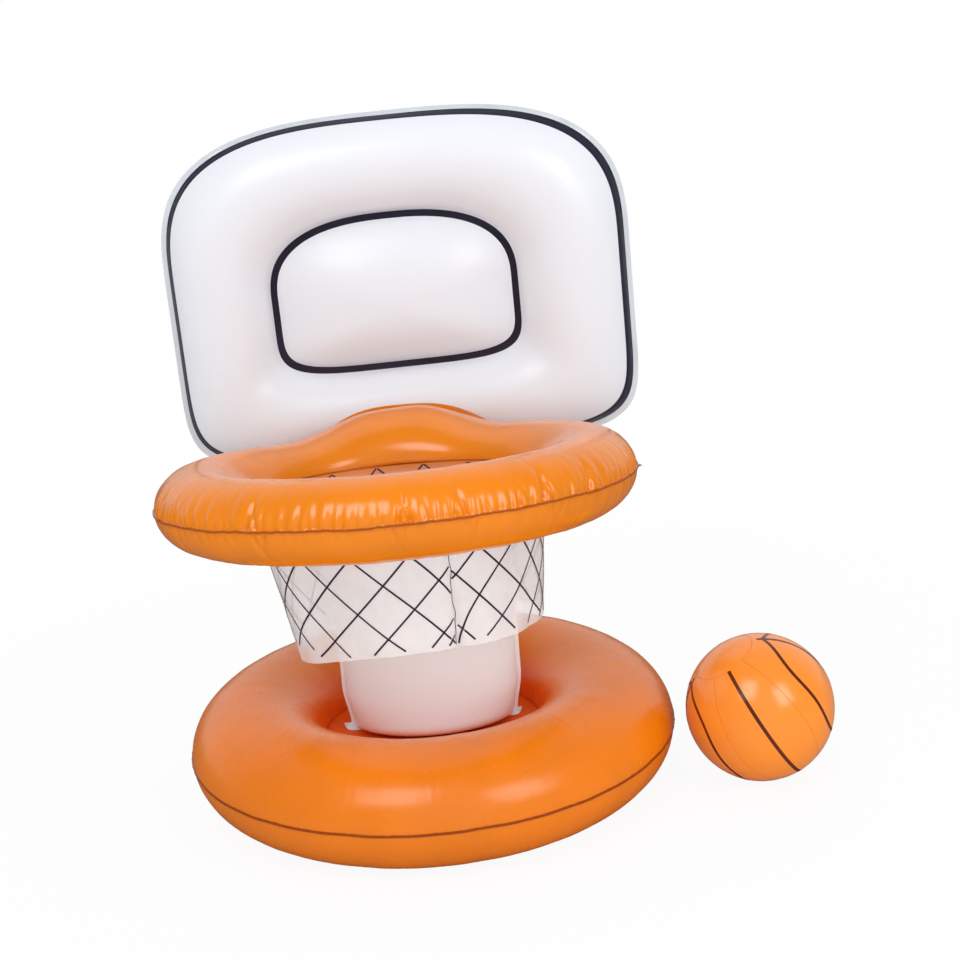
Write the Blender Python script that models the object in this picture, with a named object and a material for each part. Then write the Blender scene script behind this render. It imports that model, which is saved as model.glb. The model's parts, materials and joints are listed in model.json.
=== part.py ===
"""Floating basketball hoop with its ball, built from welded vinyl air chambers.

A base ring floats the set. A pillow column stands on a film disc in the ring's hole and carries the
rim, and the backboard hangs on a weld lip at the back of the rim. Each chamber is two cut sheets that
meet at a weld, and each half is one solid: the sheet with the air behind it. Units are metres, +Z is up.
"""
import bpy
import bmesh
from math import asin, cos, pi, radians, sin, sqrt, tau
from mathutils import Euler, Matrix, Vector

# Film and welds
film = 0.0008              # drawn thickness of the film
gap = 0.0003               # clearance between pieces that are welded or seated
ring_lip = 0.0015          # weld lip outside a ring's outer seam
inner_lip = 0.004          # weld lip inside a ring's inner seam
side_lip = 0.004           # weld lip down each side of the column

# Base ring
base_outer_radius = 0.280
base_hole_radius = 0.126
base_height = 0.130
floor_flat_depth = 0.0005  # depth of the flat on which the ring and the ball stand
base_segments = 48
base_arc_steps = 10

# Hoop ring, the rim: its front is tipped up and it sits a little skew on the column
hoop_outer_radius = 0.262
hoop_hole_radius = 0.1644
hoop_tube_height = 0.0854
hoop_center = Vector((-0.0163, -0.060, 0.3757))
hoop_tilt = radians(-6.19)
hoop_roll = radians(-0.56)
hoop_segments = 56
hoop_arc_steps = 10

# Hump at the back of the rim, where the outer weld lip turns up against the backboard
hump_seam_z = 0.3960       # height of the weld at its middle
hump_seam_x = 0.0088
hump_seam_radius = 0.373   # the weld is an arc on the backboard
hump_full_angle = radians(7)
hump_end_angle = radians(51)
hump_rise_power = 1.9
hump_flat_share = 0.45     # share of its depth that the tube loses under the hump
hump_crown_share = 0.30    # share of its depth that the tube loses above, over a wider stretch
hump_crown_end_angle = radians(85)
flap_top_z = 0.4080
flap_center_x = 0.0025
flap_half_width = 0.094
flap_end_half_width = 0.112
flap_drop = 0.0245         # the flap's upper edge is this much lower at its ends
flap_edge_power = 3.0

# Column
mast_center_x = 0.003
mast_y = 0.016
mast_half_width = 0.101
mast_half_depth = 0.048
mast_foot_half_width = 0.089
mast_top_half_width = 0.055
mast_foot_round = 0.055    # height over which the foot swells to full depth
mast_lean_start_z = 0.225
mast_shoulder_z = 0.250
mast_shoulder_width_z = 0.285
mast_corner = 0.022
mast_net_clearance = 0.0008
mast_rows = 16
mast_columns = 12

# Patch and web under the column
patch_half_length = 0.106
patch_half_width = 0.013
patch_corner_segments = 8

# Net skirt
net_height_front = 0.164
net_height_back = 0.172
net_height_left = 0.186
net_height_right = 0.164
net_foot_radius = 0.1375
net_foot_shift = Vector((0.0125, 0.0125, 0))
net_wave = 0.0022
net_wave_count = 7
net_pleat_angle = radians(-73.5)
net_pleat_half_angle = radians(3.2)
net_pleat_depth = 0.007
net_pleat_column_shares = (-1, -0.5, 0, 0.5, 1)
net_segments = 48
net_rows = 4

# Backboard
board_center_x = 0.009
board_y = 0.245
board_roll = radians(-1.2)
board_lip = 0.0095         # weld lip outside the board's outer seam
board_half_width = 0.278
board_top_z = 0.7525
board_top_center_z = 0.580
board_top_power = 3.0
board_bottom_z = 0.3450
board_bottom_center_z = 0.500
board_bottom_power = 6.0
board_tube_half_depth = 0.042
panel_half_width = 0.1505
panel_top_z = 0.640
panel_top_center_z = 0.550
panel_top_power = 2.5
panel_bottom_z = 0.457
panel_bottom_center_z = 0.520
panel_bottom_power = 3.5
panel_weld_width = 0.005
panel_half_depth = 0.027
panel_edge_power = 1.6     # softens the inner pillow's edge, where it leaves the weld
board_points = 56
board_tube_steps = 8
panel_steps = 4

# Ball
ball_radius = 0.0834
ball_clearance = 0.013232   # clearance in plan between the ball and the base ring's weld lip
ball_bearing = radians(-11.9045)
ball_heading = radians(-177.9)
ball_tilt = radians(31.1)
ball_spin = radians(83.2)
ball_gores = 6
ball_cap_angle = radians(26)
ball_core_share = 0.2      # radius of the void in the ball's middle, of the ball's radius
gore_columns = 4
gore_rows = 10

# Air valves
valve_flange_radius = 0.0110
valve_flange_thickness = 0.0010
valve_stem_radius = 0.0045
valve_bore_radius = 0.0023
valve_stem_height = 0.0090
valve_stem_inside = 0.0030
valve_collar_radius = 0.0058
valve_collar_height = 0.0016
valve_press = 0.0055
valve_well_spare = 0.0010
valve_plug_radius = 0.0060
valve_plug_thickness = 0.0016
valve_plug_round = 0.0004
valve_spigot_length = 0.0060
valve_pull = 0.0090
valve_strap_width = 0.0032
valve_strap_thickness = 0.0008
valve_strap_reach = 0.0040
valve_segments = 16
strap_steps = 8

# Places of the valves
base_valve_step = 2        # arc step above the outer seam
hoop_valve_angle_step = 5  # ring segment, counted from +X towards +Y
hoop_valve_step = 3        # arc step below the outer seam
mast_valve_row = 6

# Travel of the moving pieces
mast_sway_range = radians(3)
hoop_nod_range = radians(3)
board_flex_range = radians(4)
ball_lift = 0.50

# Cutters and shading
cutter_overrun = 0.010
sharp_angle = radians(35)

# Finishes: colour and roughness
finishes = {
    "base_vinyl": ((0.80, 0.21, 0.003), 0.38),
    "hoop_vinyl": ((0.79, 0.23, 0.006), 0.30),
    "board_vinyl": ((0.88, 0.87, 0.89), 0.28),
    "mast_vinyl": ((0.86, 0.84, 0.85), 0.35),
    "net_vinyl": ((0.80, 0.82, 0.84), 0.40),
    "ball_vinyl": ((0.95, 0.30, 0.03), 0.20),
    "valve_vinyl": ((0.84, 0.86, 0.88), 0.35),
}

# Sizes that follow
base_seam_z = base_height / 2 - floor_flat_depth
hoop_bulge = hoop_tube_height / 2
board_front_y = board_y - board_tube_half_depth
flap_y = board_front_y - gap - film - gap / 2
web_z = base_seam_z + gap / 2 + film + gap
patch_z = web_z + film + gap
mast_foot_z = patch_z + film + gap
ball_distance = base_outer_radius + ring_lip + ball_clearance + ball_radius
ball_center = Vector((ball_distance * cos(ball_bearing), ball_distance * sin(ball_bearing),
                      ball_radius - floor_flat_depth))
ring_turn = Euler((hoop_tilt, hoop_roll, 0)).to_matrix()
ring_matrix = Matrix.Translation(hoop_center) @ ring_turn.to_4x4()
net_top_radius = hoop_hole_radius - inner_lip + film
lip_drop = gap / 2 + film + gap
mast_top_z = (ring_matrix @ Vector((0, net_top_radius, -lip_drop - film - gap))).z


def clear_scene():
    for item in list(bpy.data.objects):
        bpy.data.objects.remove(item, do_unlink=True)
    for mesh in list(bpy.data.meshes):
        bpy.data.meshes.remove(mesh)
    for material in list(bpy.data.materials):
        bpy.data.materials.remove(material)


def make_finish(name):
    color, roughness = finishes[name]
    material = bpy.data.materials.new(name)
    material.use_nodes = True
    shader = material.node_tree.nodes["Principled BSDF"]
    shader.inputs["Base Color"].default_value = (*color, 1)
    shader.inputs["Roughness"].default_value = roughness
    shader.inputs["Metallic"].default_value = 0
    return material


def make_empty(name, matrix, parent=None):
    """An empty on a joint's axis; matrix is its place in the set's own frame."""
    empty = bpy.data.objects.new(name, None)
    bpy.context.collection.objects.link(empty)
    empty["place"] = [value for row in matrix for value in row]
    if parent is not None:
        empty.parent = parent
        empty.matrix_basis = place_of(parent).inverted() @ matrix
    else:
        empty.matrix_basis = matrix
    return empty


def place_of(empty):
    values = list(empty["place"])
    return Matrix([values[row * 4:row * 4 + 4] for row in range(4)])


def make_piece(name, shape, finish, parent, matrix=Matrix.Identity(4)):
    """Turn a bmesh, modelled in the frame of matrix, into a named object under its parent empty."""
    bmesh.ops.recalc_face_normals(shape, faces=shape.faces)
    mesh = bpy.data.meshes.new(name)
    shape.to_mesh(mesh)
    shape.free()
    mesh.shade_smooth()
    mesh.set_sharp_from_angle(angle=sharp_angle)
    if finish is not None:
        mesh.materials.append(materials[finish])
    piece = bpy.data.objects.new(name, mesh)
    bpy.context.collection.objects.link(piece)
    piece.parent = parent
    piece.matrix_basis = place_of(parent).inverted() @ matrix
    return piece


def loft(sections, closed):
    """Join like sections, each a closed outline, into a solid; an open loft gets flat ends."""
    shape = bmesh.new()
    rings = [[shape.verts.new(point) for point in section] for section in sections]
    following = rings[1:] + rings[:1] if closed else rings[1:]
    for ring, after in zip(rings, following):
        for index, vertex in enumerate(ring):
            other = (index + 1) % len(ring)
            shape.faces.new((vertex, ring[other], after[other], after[index]))
    if not closed:
        shape.faces.new(rings[0][::-1])
        shape.faces.new(rings[-1])
    return shape


def revolve(profile, segments):
    """Turn a closed outline of (radius, height) pairs round Z; points on the axis become one vertex."""
    shape = bmesh.new()
    columns = []
    axis_vertices = {}
    for step in range(segments):
        angle = tau * step / segments
        column = []
        for index, (radius, height) in enumerate(profile):
            if radius == 0:
                if index not in axis_vertices:
                    axis_vertices[index] = shape.verts.new((0, 0, height))
                column.append(axis_vertices[index])
            else:
                column.append(shape.verts.new((radius * cos(angle), radius * sin(angle), height)))
        columns.append(column)
    for column, after in zip(columns, columns[1:] + columns[:1]):
        for index in range(len(profile)):
            other = (index + 1) % len(profile)
            corners = []
            for vertex in (column[index], column[other], after[other], after[index]):
                if vertex not in corners:
                    corners.append(vertex)
            if len(corners) > 2:
                shape.faces.new(corners)
    return shape


def cut(piece, cutter):
    """Cut a closed solid out of a piece."""
    cutter.hide_render = True
    cutter.display_type = "WIRE"
    modifier = piece.modifiers.new(cutter.name, "BOOLEAN")
    modifier.operation = "DIFFERENCE"
    modifier.object = cutter


def smooth_step(value):
    clamped = min(max(value, 0), 1)
    return clamped * clamped * (3 - 2 * clamped)


def turned(direction):
    """A radial-plane direction turned a quarter turn towards +Z."""
    return Vector((-direction.y, direction.x))


def tube_half(seam_in, seam_out, tip_in, tip_out, bulge, side, angles):
    """Outline of the upper (+1) or lower (-1) half of a ring's tube in its radial plane.

    The sheet runs from the outer weld lip over the tube to the inner lip, and the outline closes
    along the seam's mid-plane.
    """
    chord = seam_out - seam_in
    along = chord.normalized()
    up = turned(along) * side
    lip_up = turned((tip_out - seam_out).normalized()) * side
    root_up = (up + lip_up).normalized()
    middle = (seam_in + seam_out) / 2
    weld = gap / 2 + film
    points = [tip_out + lip_up * gap / 2, tip_out + lip_up * weld]
    for angle in angles:
        rise = max(bulge * sin(angle), weld)
        if angle == angles[0]:
            points.append(seam_out + root_up * weld)
        else:
            points.append(middle + along * chord.length / 2 * cos(angle) + up * rise)
    points += [tip_in + up * weld, tip_in + up * gap / 2]
    points += [seam_in + up * gap / 2, seam_out + root_up * gap / 2]
    return points


def around(angle, point):
    """A (radius, height) pair placed at an angle round Z."""
    return Vector((point.x * cos(angle), point.x * sin(angle), point.y))


def even_angles(steps):
    return [pi * step / steps for step in range(steps + 1)]


def make_base_ring(parent):
    """The float: two ring sheets, the lower one resting on a shallow flat."""
    seam_out = Vector((base_outer_radius, base_seam_z))
    seam_in = Vector((base_hole_radius, base_seam_z))
    tip_out = seam_out + Vector((ring_lip, 0))
    tip_in = seam_in - Vector((inner_lip, 0))
    bulge = base_height / 2
    flat_angle = asin(base_seam_z / bulge)
    half_steps = base_arc_steps // 2
    rising = [flat_angle * step / half_steps for step in range(half_steps + 1)]
    floor_angles = rising + [pi - angle for angle in reversed(rising)]
    halves = {}
    for name, side, angles in (("base_ring_upper_half", 1, even_angles(base_arc_steps)),
                               ("base_ring_lower_half", -1, floor_angles)):
        outline = tube_half(seam_in, seam_out, tip_in, tip_out, bulge, side, angles)
        sections = [[around(tau * step / base_segments, point) for point in outline]
                    for step in range(base_segments)]
        halves[side] = make_piece(name, loft(sections, True), "base_vinyl", parent)
    web_radius = base_hole_radius - film
    web = revolve([(0, web_z), (web_radius, web_z), (web_radius, web_z + film), (0, web_z + film)],
                  base_segments)
    make_piece("floor_web", web, "base_vinyl", parent)
    return halves[1]


def toward_back(angle, full_angle, end_angle):
    """1 at the back of the rim, and out to full_angle from there; 0 beyond end_angle."""
    away = abs(angle - pi / 2)
    return smooth_step((end_angle - away) / (end_angle - full_angle))


def hoop_section(angle, side):
    """Outline of a half of the rim's tube, drawn up to the backboard at the back."""
    lift = toward_back(angle, hump_full_angle, hump_end_angle) ** hump_rise_power
    seam_in = Vector((hoop_hole_radius, 0))
    seam_out = Vector((hoop_outer_radius, 0))
    lip = Vector((ring_lip, 0))
    tip_out = seam_out + lip
    if side > 0:
        bulge = hoop_bulge * (1 - hump_crown_share * toward_back(angle, 0, hump_crown_end_angle))
    else:
        bulge = hoop_bulge * (1 - hump_flat_share * lift)
    if lift > 0:
        back = ring_matrix.inverted()
        x = (ring_matrix @ around(angle, seam_out)).x
        fall = hump_seam_radius - sqrt(hump_seam_radius ** 2 - (x - hump_seam_x) ** 2)
        root = back @ Vector((x, flap_y, hump_seam_z - fall))
        seam_out = seam_out.lerp(Vector((root.y / sin(angle), root.z)), lift)
        aside = abs(x - flap_center_x)
        drop = flap_drop * (aside / flap_half_width) ** flap_edge_power
        edge = back @ Vector((x, flap_y, flap_top_z - drop))
        tab = smooth_step((flap_end_half_width - aside) / (flap_end_half_width - flap_half_width))
        tip_out = (seam_out + lip).lerp(Vector((edge.y / sin(angle), edge.z)), tab)
    tip_in = seam_in - Vector((inner_lip, 0))
    return tube_half(seam_in, seam_out, tip_in, tip_out, bulge, side, even_angles(hoop_arc_steps))


def make_hoop_ring(parent):
    """The rim: two ring sheets whose back is drawn up into a hump and welded to the backboard."""
    halves = {}
    for name, side in (("hoop_ring_upper_half", 1), ("hoop_ring_lower_half", -1)):
        sections = []
        for step in range(hoop_segments):
            angle = tau * step / hoop_segments
            sections.append([around(angle, point) for point in hoop_section(angle, side)])
        halves[side] = make_piece(name, loft(sections, True), "hoop_vinyl", parent, ring_matrix)
    return halves[-1]


def net_angles():
    """Directions of the skirt's columns, with extra ones at the pleat."""
    angles = []
    for step in range(net_segments):
        angle = tau * step / net_segments - pi
        if abs(angle - net_pleat_angle) > 2 * net_pleat_half_angle:
            angles.append(angle)
    for share in net_pleat_column_shares:
        angles.append(net_pleat_angle + share * net_pleat_half_angle)
    return sorted(angles)


def net_height(angle):
    side = net_height_right if cos(angle) > 0 else net_height_left
    end = net_height_back if sin(angle) > 0 else net_height_front
    return side * cos(angle) ** 2 + end * sin(angle) ** 2


def net_point(angle, down_share, inside=0):
    """A point of the skirt, which narrows, shifts back and waves more towards its hem."""
    pleat = max(0, 1 - abs(angle - net_pleat_angle) / net_pleat_half_angle)
    wave = net_wave * cos(net_wave_count * angle) - net_pleat_depth * pleat
    radius = net_top_radius - inside + (net_foot_radius - net_top_radius + wave) * down_share
    place = Vector((radius * cos(angle), radius * sin(angle), -lip_drop - film))
    drop = net_foot_shift - Vector((0, 0, net_height(angle)))
    return place + ring_turn.inverted() @ drop * down_share


def make_net_skirt(parent):
    """The skirt: one sheet with a weld lip under the rim's inner seam, hanging open at the foot."""
    lip_radius = hoop_hole_radius - film
    sections = []
    for angle in net_angles():
        section = [around(angle, Vector((lip_radius, -lip_drop))),
                   around(angle, Vector((lip_radius, -lip_drop - film)))]
        section += [net_point(angle, row / net_rows) for row in range(net_rows + 1)]
        section += [net_point(angle, row / net_rows, film) for row in range(net_rows, 0, -1)]
        section.append(around(angle, Vector((net_top_radius - film, -lip_drop))))
        sections.append(section)
    make_piece("net_skirt", loft(sections, True), "net_vinyl", parent, ring_matrix)


def mast_width(height):
    """Half width of the column's pillow at a height."""
    foot = smooth_step((height - mast_foot_z) / mast_corner)
    low = mast_foot_half_width + (mast_half_width - mast_foot_half_width) * foot
    shoulder = min(max((height - mast_shoulder_width_z) / (mast_top_z - mast_shoulder_width_z), 0), 1)
    return low + (mast_top_half_width - low) * (1 - sqrt(1 - shoulder * shoulder))


def mast_arc_y(x, height):
    """Depth of the line, inside the skirt's back, up to which the column may reach at a height.

    At the top it is the arc to which the top seam is welded. Below, the skirt narrows, and the rim's
    nod swings it forward.
    """
    below = mast_top_z - height
    down_share = below / net_height_back
    swing = below * sin(hoop_nod_range)
    inside = film + gap / 2 + film + mast_net_clearance + swing
    radius = net_top_radius + (net_foot_radius - net_top_radius) * down_share - inside
    across = x - hoop_center.x - net_foot_shift.x * down_share
    return hoop_center.y + net_foot_shift.y * down_share + sqrt(radius ** 2 - across ** 2) * cos(hoop_tilt)


def mast_section(height, side):
    """Outline of the front (-1) or rear (+1) half of the column at one height."""
    width = mast_width(height)
    lean = smooth_step((height - mast_lean_start_z) / (mast_top_z - mast_lean_start_z))
    swell = min((height - mast_foot_z) / mast_foot_round, 1)
    full = mast_half_depth * sqrt(1 - (1 - swell) ** 2)
    top_y = mast_arc_y(mast_center_x, mast_top_z)
    middle_y = mast_y + (mast_arc_y(mast_center_x, height) - mast_y) * lean
    if side < 0:
        over = max((height - mast_shoulder_z) / (mast_top_z - mast_shoulder_z), 0)
        depth = middle_y - top_y + (top_y - mast_y + full) * sqrt(1 - min(over, 1) ** 2)
    else:
        low = max((height - mast_lean_start_z) / (mast_top_z - mast_lean_start_z), 0)
        depth = mast_y + full + (top_y - mast_y - full) * low - middle_y
    weld = gap / 2 + film
    profile = [(-width - side_lip, gap / 2), (-width - side_lip, weld)]
    for column in range(mast_columns + 1):
        u = -cos(pi * column / mast_columns)
        profile.append((width * u, max(depth * sqrt(max(1 - u * u, 0)), weld)))
    profile += [(width + side_lip, weld), (width + side_lip, gap / 2)]
    points = []
    for x, out in profile:
        arc_y = mast_arc_y(mast_center_x + x, height) if lean > 0 else mast_y
        seam_y = mast_y + (arc_y - mast_y) * lean
        points.append(Vector((mast_center_x + x, seam_y + side * out, height)))
    return points


def mast_heights():
    """Levels of the column's sections, closer together where it rounds over."""
    return [mast_foot_z + (mast_top_z - mast_foot_z) * (1 - cos(pi * row / mast_rows)) / 2
            for row in range(mast_rows + 1)]


def make_mast(parent):
    """The column: front and rear sheets, pinched at the foot and at the top."""
    halves = {}
    for name, side in (("mast_front_half", -1), ("mast_rear_half", 1)):
        sections = [mast_section(height, side) for height in mast_heights()]
        halves[side] = make_piece(name, loft(sections, False), "mast_vinyl", parent)
    return halves[1]


def make_foot_patch(parent):
    """The strip that welds the column's foot to the web; its round ends show on both sides."""
    straight = patch_half_length - patch_half_width
    outline = []
    for direction, start in ((1, -pi / 2), (-1, pi / 2)):
        for step in range(patch_corner_segments + 1):
            angle = start + pi * step / patch_corner_segments
            outline.append((mast_center_x + direction * straight + patch_half_width * cos(angle),
                            mast_y + patch_half_width * sin(angle)))
    sections = [[Vector((x, y, height)) for x, y in outline] for height in (patch_z, patch_z + film)]
    make_piece("mast_foot_patch", loft(sections, False), "mast_vinyl", parent)


def board_outline(half_width, top_z, top_center_z, top_power, bottom_z, bottom_center_z, bottom_power):
    """A rounded panel outline: unlike superellipse halves above and below straight sides."""
    points = []
    for step in range(board_points):
        angle = tau * step / board_points - pi / 2
        across, up = cos(angle), sin(angle)
        power = top_power if up >= 0 else bottom_power
        center_z = top_center_z if up >= 0 else bottom_center_z
        height = top_z - top_center_z if up >= 0 else bottom_center_z - bottom_z
        x = half_width * abs(across) ** (2 / power) * (1 if across >= 0 else -1)
        z = center_z + height * abs(up) ** (2 / power) * (1 if up >= 0 else -1)
        points.append(Vector((x, z)))
    return points


def arc_rise(across, half_chord, bulge):
    """Height of a circular arc above its chord, at a distance across from the chord's middle."""
    radius = (half_chord ** 2 + bulge ** 2) / (2 * bulge)
    return sqrt(radius ** 2 - across ** 2) - (radius - bulge)


def board_half(side):
    """One sheet of the backboard: lip, tube, pinched weld line and inner pillow, with a flat back."""
    lip = board_outline(board_half_width + board_lip, board_top_z + board_lip, board_top_center_z,
                        board_top_power, board_bottom_z - board_lip, board_bottom_center_z,
                        board_bottom_power)
    outer = board_outline(board_half_width, board_top_z, board_top_center_z, board_top_power,
                          board_bottom_z, board_bottom_center_z, board_bottom_power)
    weld_out = board_outline(panel_half_width + panel_weld_width, panel_top_z + panel_weld_width,
                             panel_top_center_z, panel_top_power, panel_bottom_z - panel_weld_width,
                             panel_bottom_center_z, panel_bottom_power)
    weld_in = board_outline(panel_half_width - panel_weld_width, panel_top_z - panel_weld_width,
                            panel_top_center_z, panel_top_power, panel_bottom_z + panel_weld_width,
                            panel_bottom_center_z, panel_bottom_power)
    flat = gap / 2 + film
    seam = [gap / 2] * board_points
    level = [flat] * board_points
    loops = [(lip, seam), (lip, level), (outer, level)]
    for step in range(1, board_tube_steps):
        angle = pi * step / board_tube_steps
        share = (1 - cos(angle)) / 2
        halves = [(a - b).length / 2 for a, b in zip(outer, weld_out)]
        loops.append(([a.lerp(b, share) for a, b in zip(outer, weld_out)],
                      [arc_rise(half * cos(angle), half, board_tube_half_depth) for half in halves]))
    loops += [(weld_out, level), (weld_in, level)]
    middle = Vector((0, (panel_top_z + panel_bottom_z) / 2))
    for step in range(1, panel_steps):
        angle = pi / 2 * step / panel_steps
        rise = max(panel_half_depth * sin(angle) ** panel_edge_power, flat)
        loops.append(([middle.lerp(point, cos(angle)) for point in weld_in], [rise] * board_points))
    shape = bmesh.new()
    rings = [[shape.verts.new((point.x, side * out, point.y)) for point, out in zip(loop, outs)]
             for loop, outs in loops]
    for ring, after in zip(rings, rings[1:]):
        for index, vertex in enumerate(ring):
            other = (index + 1) % len(ring)
            shape.faces.new((vertex, ring[other], after[other], after[index]))
    crown = shape.verts.new((middle.x, side * panel_half_depth, middle.y))
    for index, vertex in enumerate(rings[-1]):
        shape.faces.new((vertex, rings[-1][(index + 1) % board_points], crown))
    shape.faces.new(rings[0])
    return shape


def board_matrix():
    """The board turns a little about its middle, as it hangs in the photograph."""
    middle = Vector((board_center_x, board_y, (board_top_z + board_bottom_z) / 2))
    turn = Matrix.Rotation(board_roll, 4, "Y")
    return Matrix.Translation(middle) @ turn @ Matrix.Translation(Vector((0, 0, -middle.z)))


def make_backboard(parent):
    """The backboard: front and rear sheets, a tube round an inner pillow, and a clear lip."""
    halves = {}
    for name, side in (("backboard_front_half", -1), ("backboard_rear_half", 1)):
        halves[side] = make_piece(name, board_half(side), "board_vinyl", parent, board_matrix())
    return halves[1]


def ball_matrix():
    turn = (Matrix.Rotation(ball_heading, 4, "Z") @ Matrix.Rotation(ball_tilt, 4, "Y")
            @ Matrix.Rotation(ball_spin, 4, "Z"))
    return Matrix.Translation(ball_center) @ turn


def ball_point(radius, polar, around_angle):
    return Vector((radius * sin(polar) * cos(around_angle), radius * sin(polar) * sin(around_angle),
                   radius * cos(polar)))


def gore_section(side_share, core):
    """Outline of a gore's cut across its width; side_share runs from -1 to 1."""
    half_angle = pi / ball_gores
    edge = ball_cap_angle + gap / 2 / ball_radius
    outline = []
    for radius, order in ((ball_radius, 1), (core, -1)):
        steps = gore_rows if order > 0 else 1
        for step in range(steps + 1):
            share = step / steps if order > 0 else 1 - step / steps
            polar = edge + (pi - 2 * edge) * share
            clear = asin(gap / 2 / (radius * sin(polar)))
            outline.append(ball_point(radius, polar, (half_angle - clear) * side_share))
    return outline


def cap_profile():
    """A polar patch with the wedge of air behind it, down to the ball's small middle void."""
    edge = ball_cap_angle - gap / 2 / ball_radius
    core = ball_radius * ball_core_share
    points = [(ball_radius * sin(edge * step / gore_columns), ball_radius * cos(edge * step / gore_columns))
              for step in range(gore_columns + 1)]
    core_edge = edge - gap / 2 / core
    points += [(core * sin(core_edge), core * cos(core_edge)), (0, core)]
    return points


def make_ball(parent):
    """The ball: six gores welded side by side and two polar patches, standing on a shallow flat."""
    core = ball_radius * ball_core_share
    matrix = ball_matrix()
    pieces = []
    for number in range(ball_gores):
        turn = Matrix.Rotation(tau * number / ball_gores, 4, "Z")
        sections = []
        for step in range(gore_columns + 1):
            sections.append([turn @ point for point in gore_section(2 * step / gore_columns - 1, core)])
        pieces.append(make_piece("ball_gore_%d" % (number + 1), loft(sections, False), "ball_vinyl",
                                 parent, matrix))
    for name, flip in (("ball_cap_top", 1), ("ball_cap_bottom", -1)):
        profile = [(radius, flip * height) for radius, height in cap_profile()]
        pieces.append(make_piece(name, revolve(profile, ball_gores * gore_columns), "ball_vinyl", parent,
                                 matrix))
    floor = make_floor_cutter(parent)
    for piece in pieces:
        lowest = min((matrix @ vertex.co).z for vertex in piece.data.vertices)
        if lowest < 0:
            cut(piece, floor)
    return pieces[:ball_gores]


def make_floor_cutter(parent):
    """A block below the floor under the ball, which cuts its flat."""
    reach = ball_radius + cutter_overrun
    corners = [Vector((ball_center.x + x * reach, ball_center.y + y * reach, 0)) for x, y in
               ((-1, -1), (1, -1), (1, 1), (-1, 1))]
    below = [corner - Vector((0, 0, cutter_overrun)) for corner in corners]
    return make_piece("floor_cutter", loft([below, corners], False), None, parent)


def surface_place(point, normal, sideways):
    """A frame on a surface: Z leaves it, and X is the side to which the valve's strap reaches."""
    out = normal.normalized()
    across = (sideways - out * sideways.dot(out)).normalized()
    frame = Matrix((across, out.cross(across), out)).transposed().to_4x4()
    return Matrix.Translation(point) @ frame


def make_valve(prefix, host, host_empty, place):
    """An air valve: a flange welded to the sheet, a stem that pushes in, and a plug on a strap."""
    well_radius = valve_stem_radius + gap
    well_depth = valve_stem_inside + valve_press + valve_well_spare
    well = revolve([(0, -well_depth), (well_radius, -well_depth), (well_radius, cutter_overrun),
                    (0, cutter_overrun)], valve_segments)
    cut(host, make_piece(prefix + "_valve_well", well, None, host_empty, place))

    flange_top = gap + valve_flange_thickness
    flange = revolve([(well_radius, gap), (valve_flange_radius, gap),
                      (valve_flange_radius, flange_top - valve_flange_thickness / 2),
                      (valve_flange_radius - valve_flange_thickness / 2, flange_top),
                      (well_radius, flange_top)], valve_segments)
    make_piece(prefix + "_valve_flange", flange, "valve_vinyl", host_empty, place)

    stem_empty = make_empty(prefix + "_stem_axis", place, host_empty)
    stem = revolve([(valve_bore_radius, -valve_stem_inside), (valve_stem_radius, -valve_stem_inside),
                    (valve_stem_radius, valve_stem_height - valve_collar_height),
                    (valve_collar_radius, valve_stem_height - valve_collar_height),
                    (valve_collar_radius, valve_stem_height), (valve_bore_radius, valve_stem_height)],
                   valve_segments)
    make_piece(prefix + "_valve_stem", stem, "valve_vinyl", stem_empty, place)

    plug_empty = make_empty(prefix + "_plug_axis", place, stem_empty)
    seat = valve_stem_height + gap
    spigot_radius = valve_bore_radius - gap
    cap_top = seat + valve_plug_thickness
    plug = revolve([(0, seat - valve_spigot_length),
                    (spigot_radius - valve_plug_round, seat - valve_spigot_length),
                    (spigot_radius, seat - valve_spigot_length + valve_plug_round),
                    (spigot_radius, seat), (valve_plug_radius, seat),
                    (valve_plug_radius, cap_top - valve_plug_round),
                    (valve_plug_radius - valve_plug_round, cap_top), (0, cap_top)], valve_segments)
    make_piece(prefix + "_valve_plug", plug, "valve_vinyl", plug_empty, place)

    upper_z = seat + valve_plug_thickness / 2
    lower_z = valve_stem_height - valve_collar_height / 2
    rise = (upper_z - lower_z) / 2
    upper = Vector((valve_plug_radius + gap, 0, upper_z))
    lower = Vector((valve_collar_radius + gap, 0, lower_z))
    turn_x = valve_plug_radius + gap + valve_strap_reach - rise
    path = [upper]
    for step in range(strap_steps + 1):
        angle = pi / 2 - pi * step / strap_steps
        path.append(Vector((turn_x + rise * cos(angle), 0, (upper_z + lower_z) / 2 + rise * sin(angle))))
    path.append(lower)
    sections = []
    for index, point in enumerate(path):
        before, after = path[max(index - 1, 0)], path[min(index + 1, len(path) - 1)]
        along = (after - before).normalized()
        thick = Vector((-along.z, 0, along.x)) * valve_strap_thickness / 2
        wide = Vector((0, valve_strap_width / 2, 0))
        sections.append([point + thick + wide, point - thick + wide, point - thick - wide,
                         point + thick - wide])
    make_piece(prefix + "_valve_strap", loft(sections, False), "valve_vinyl", stem_empty, place)


def outer_place(section_matrix, angle, seam_in, seam_out, bulge, side, arc_angle):
    """A frame on a ring's tube at an angle round the ring and an angle round its section."""
    half = (seam_out - seam_in) / 2
    middle = (seam_out + seam_in) / 2
    point = Vector((middle + half * cos(arc_angle), side * bulge * sin(arc_angle)))
    normal = Vector((cos(arc_angle) / half, side * sin(arc_angle) / bulge))
    turn = section_matrix.to_3x3()
    sideways = turn @ Vector((-sin(angle), cos(angle), 0))
    return surface_place(section_matrix @ around(angle, point), turn @ around(angle, normal), sideways)


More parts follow.
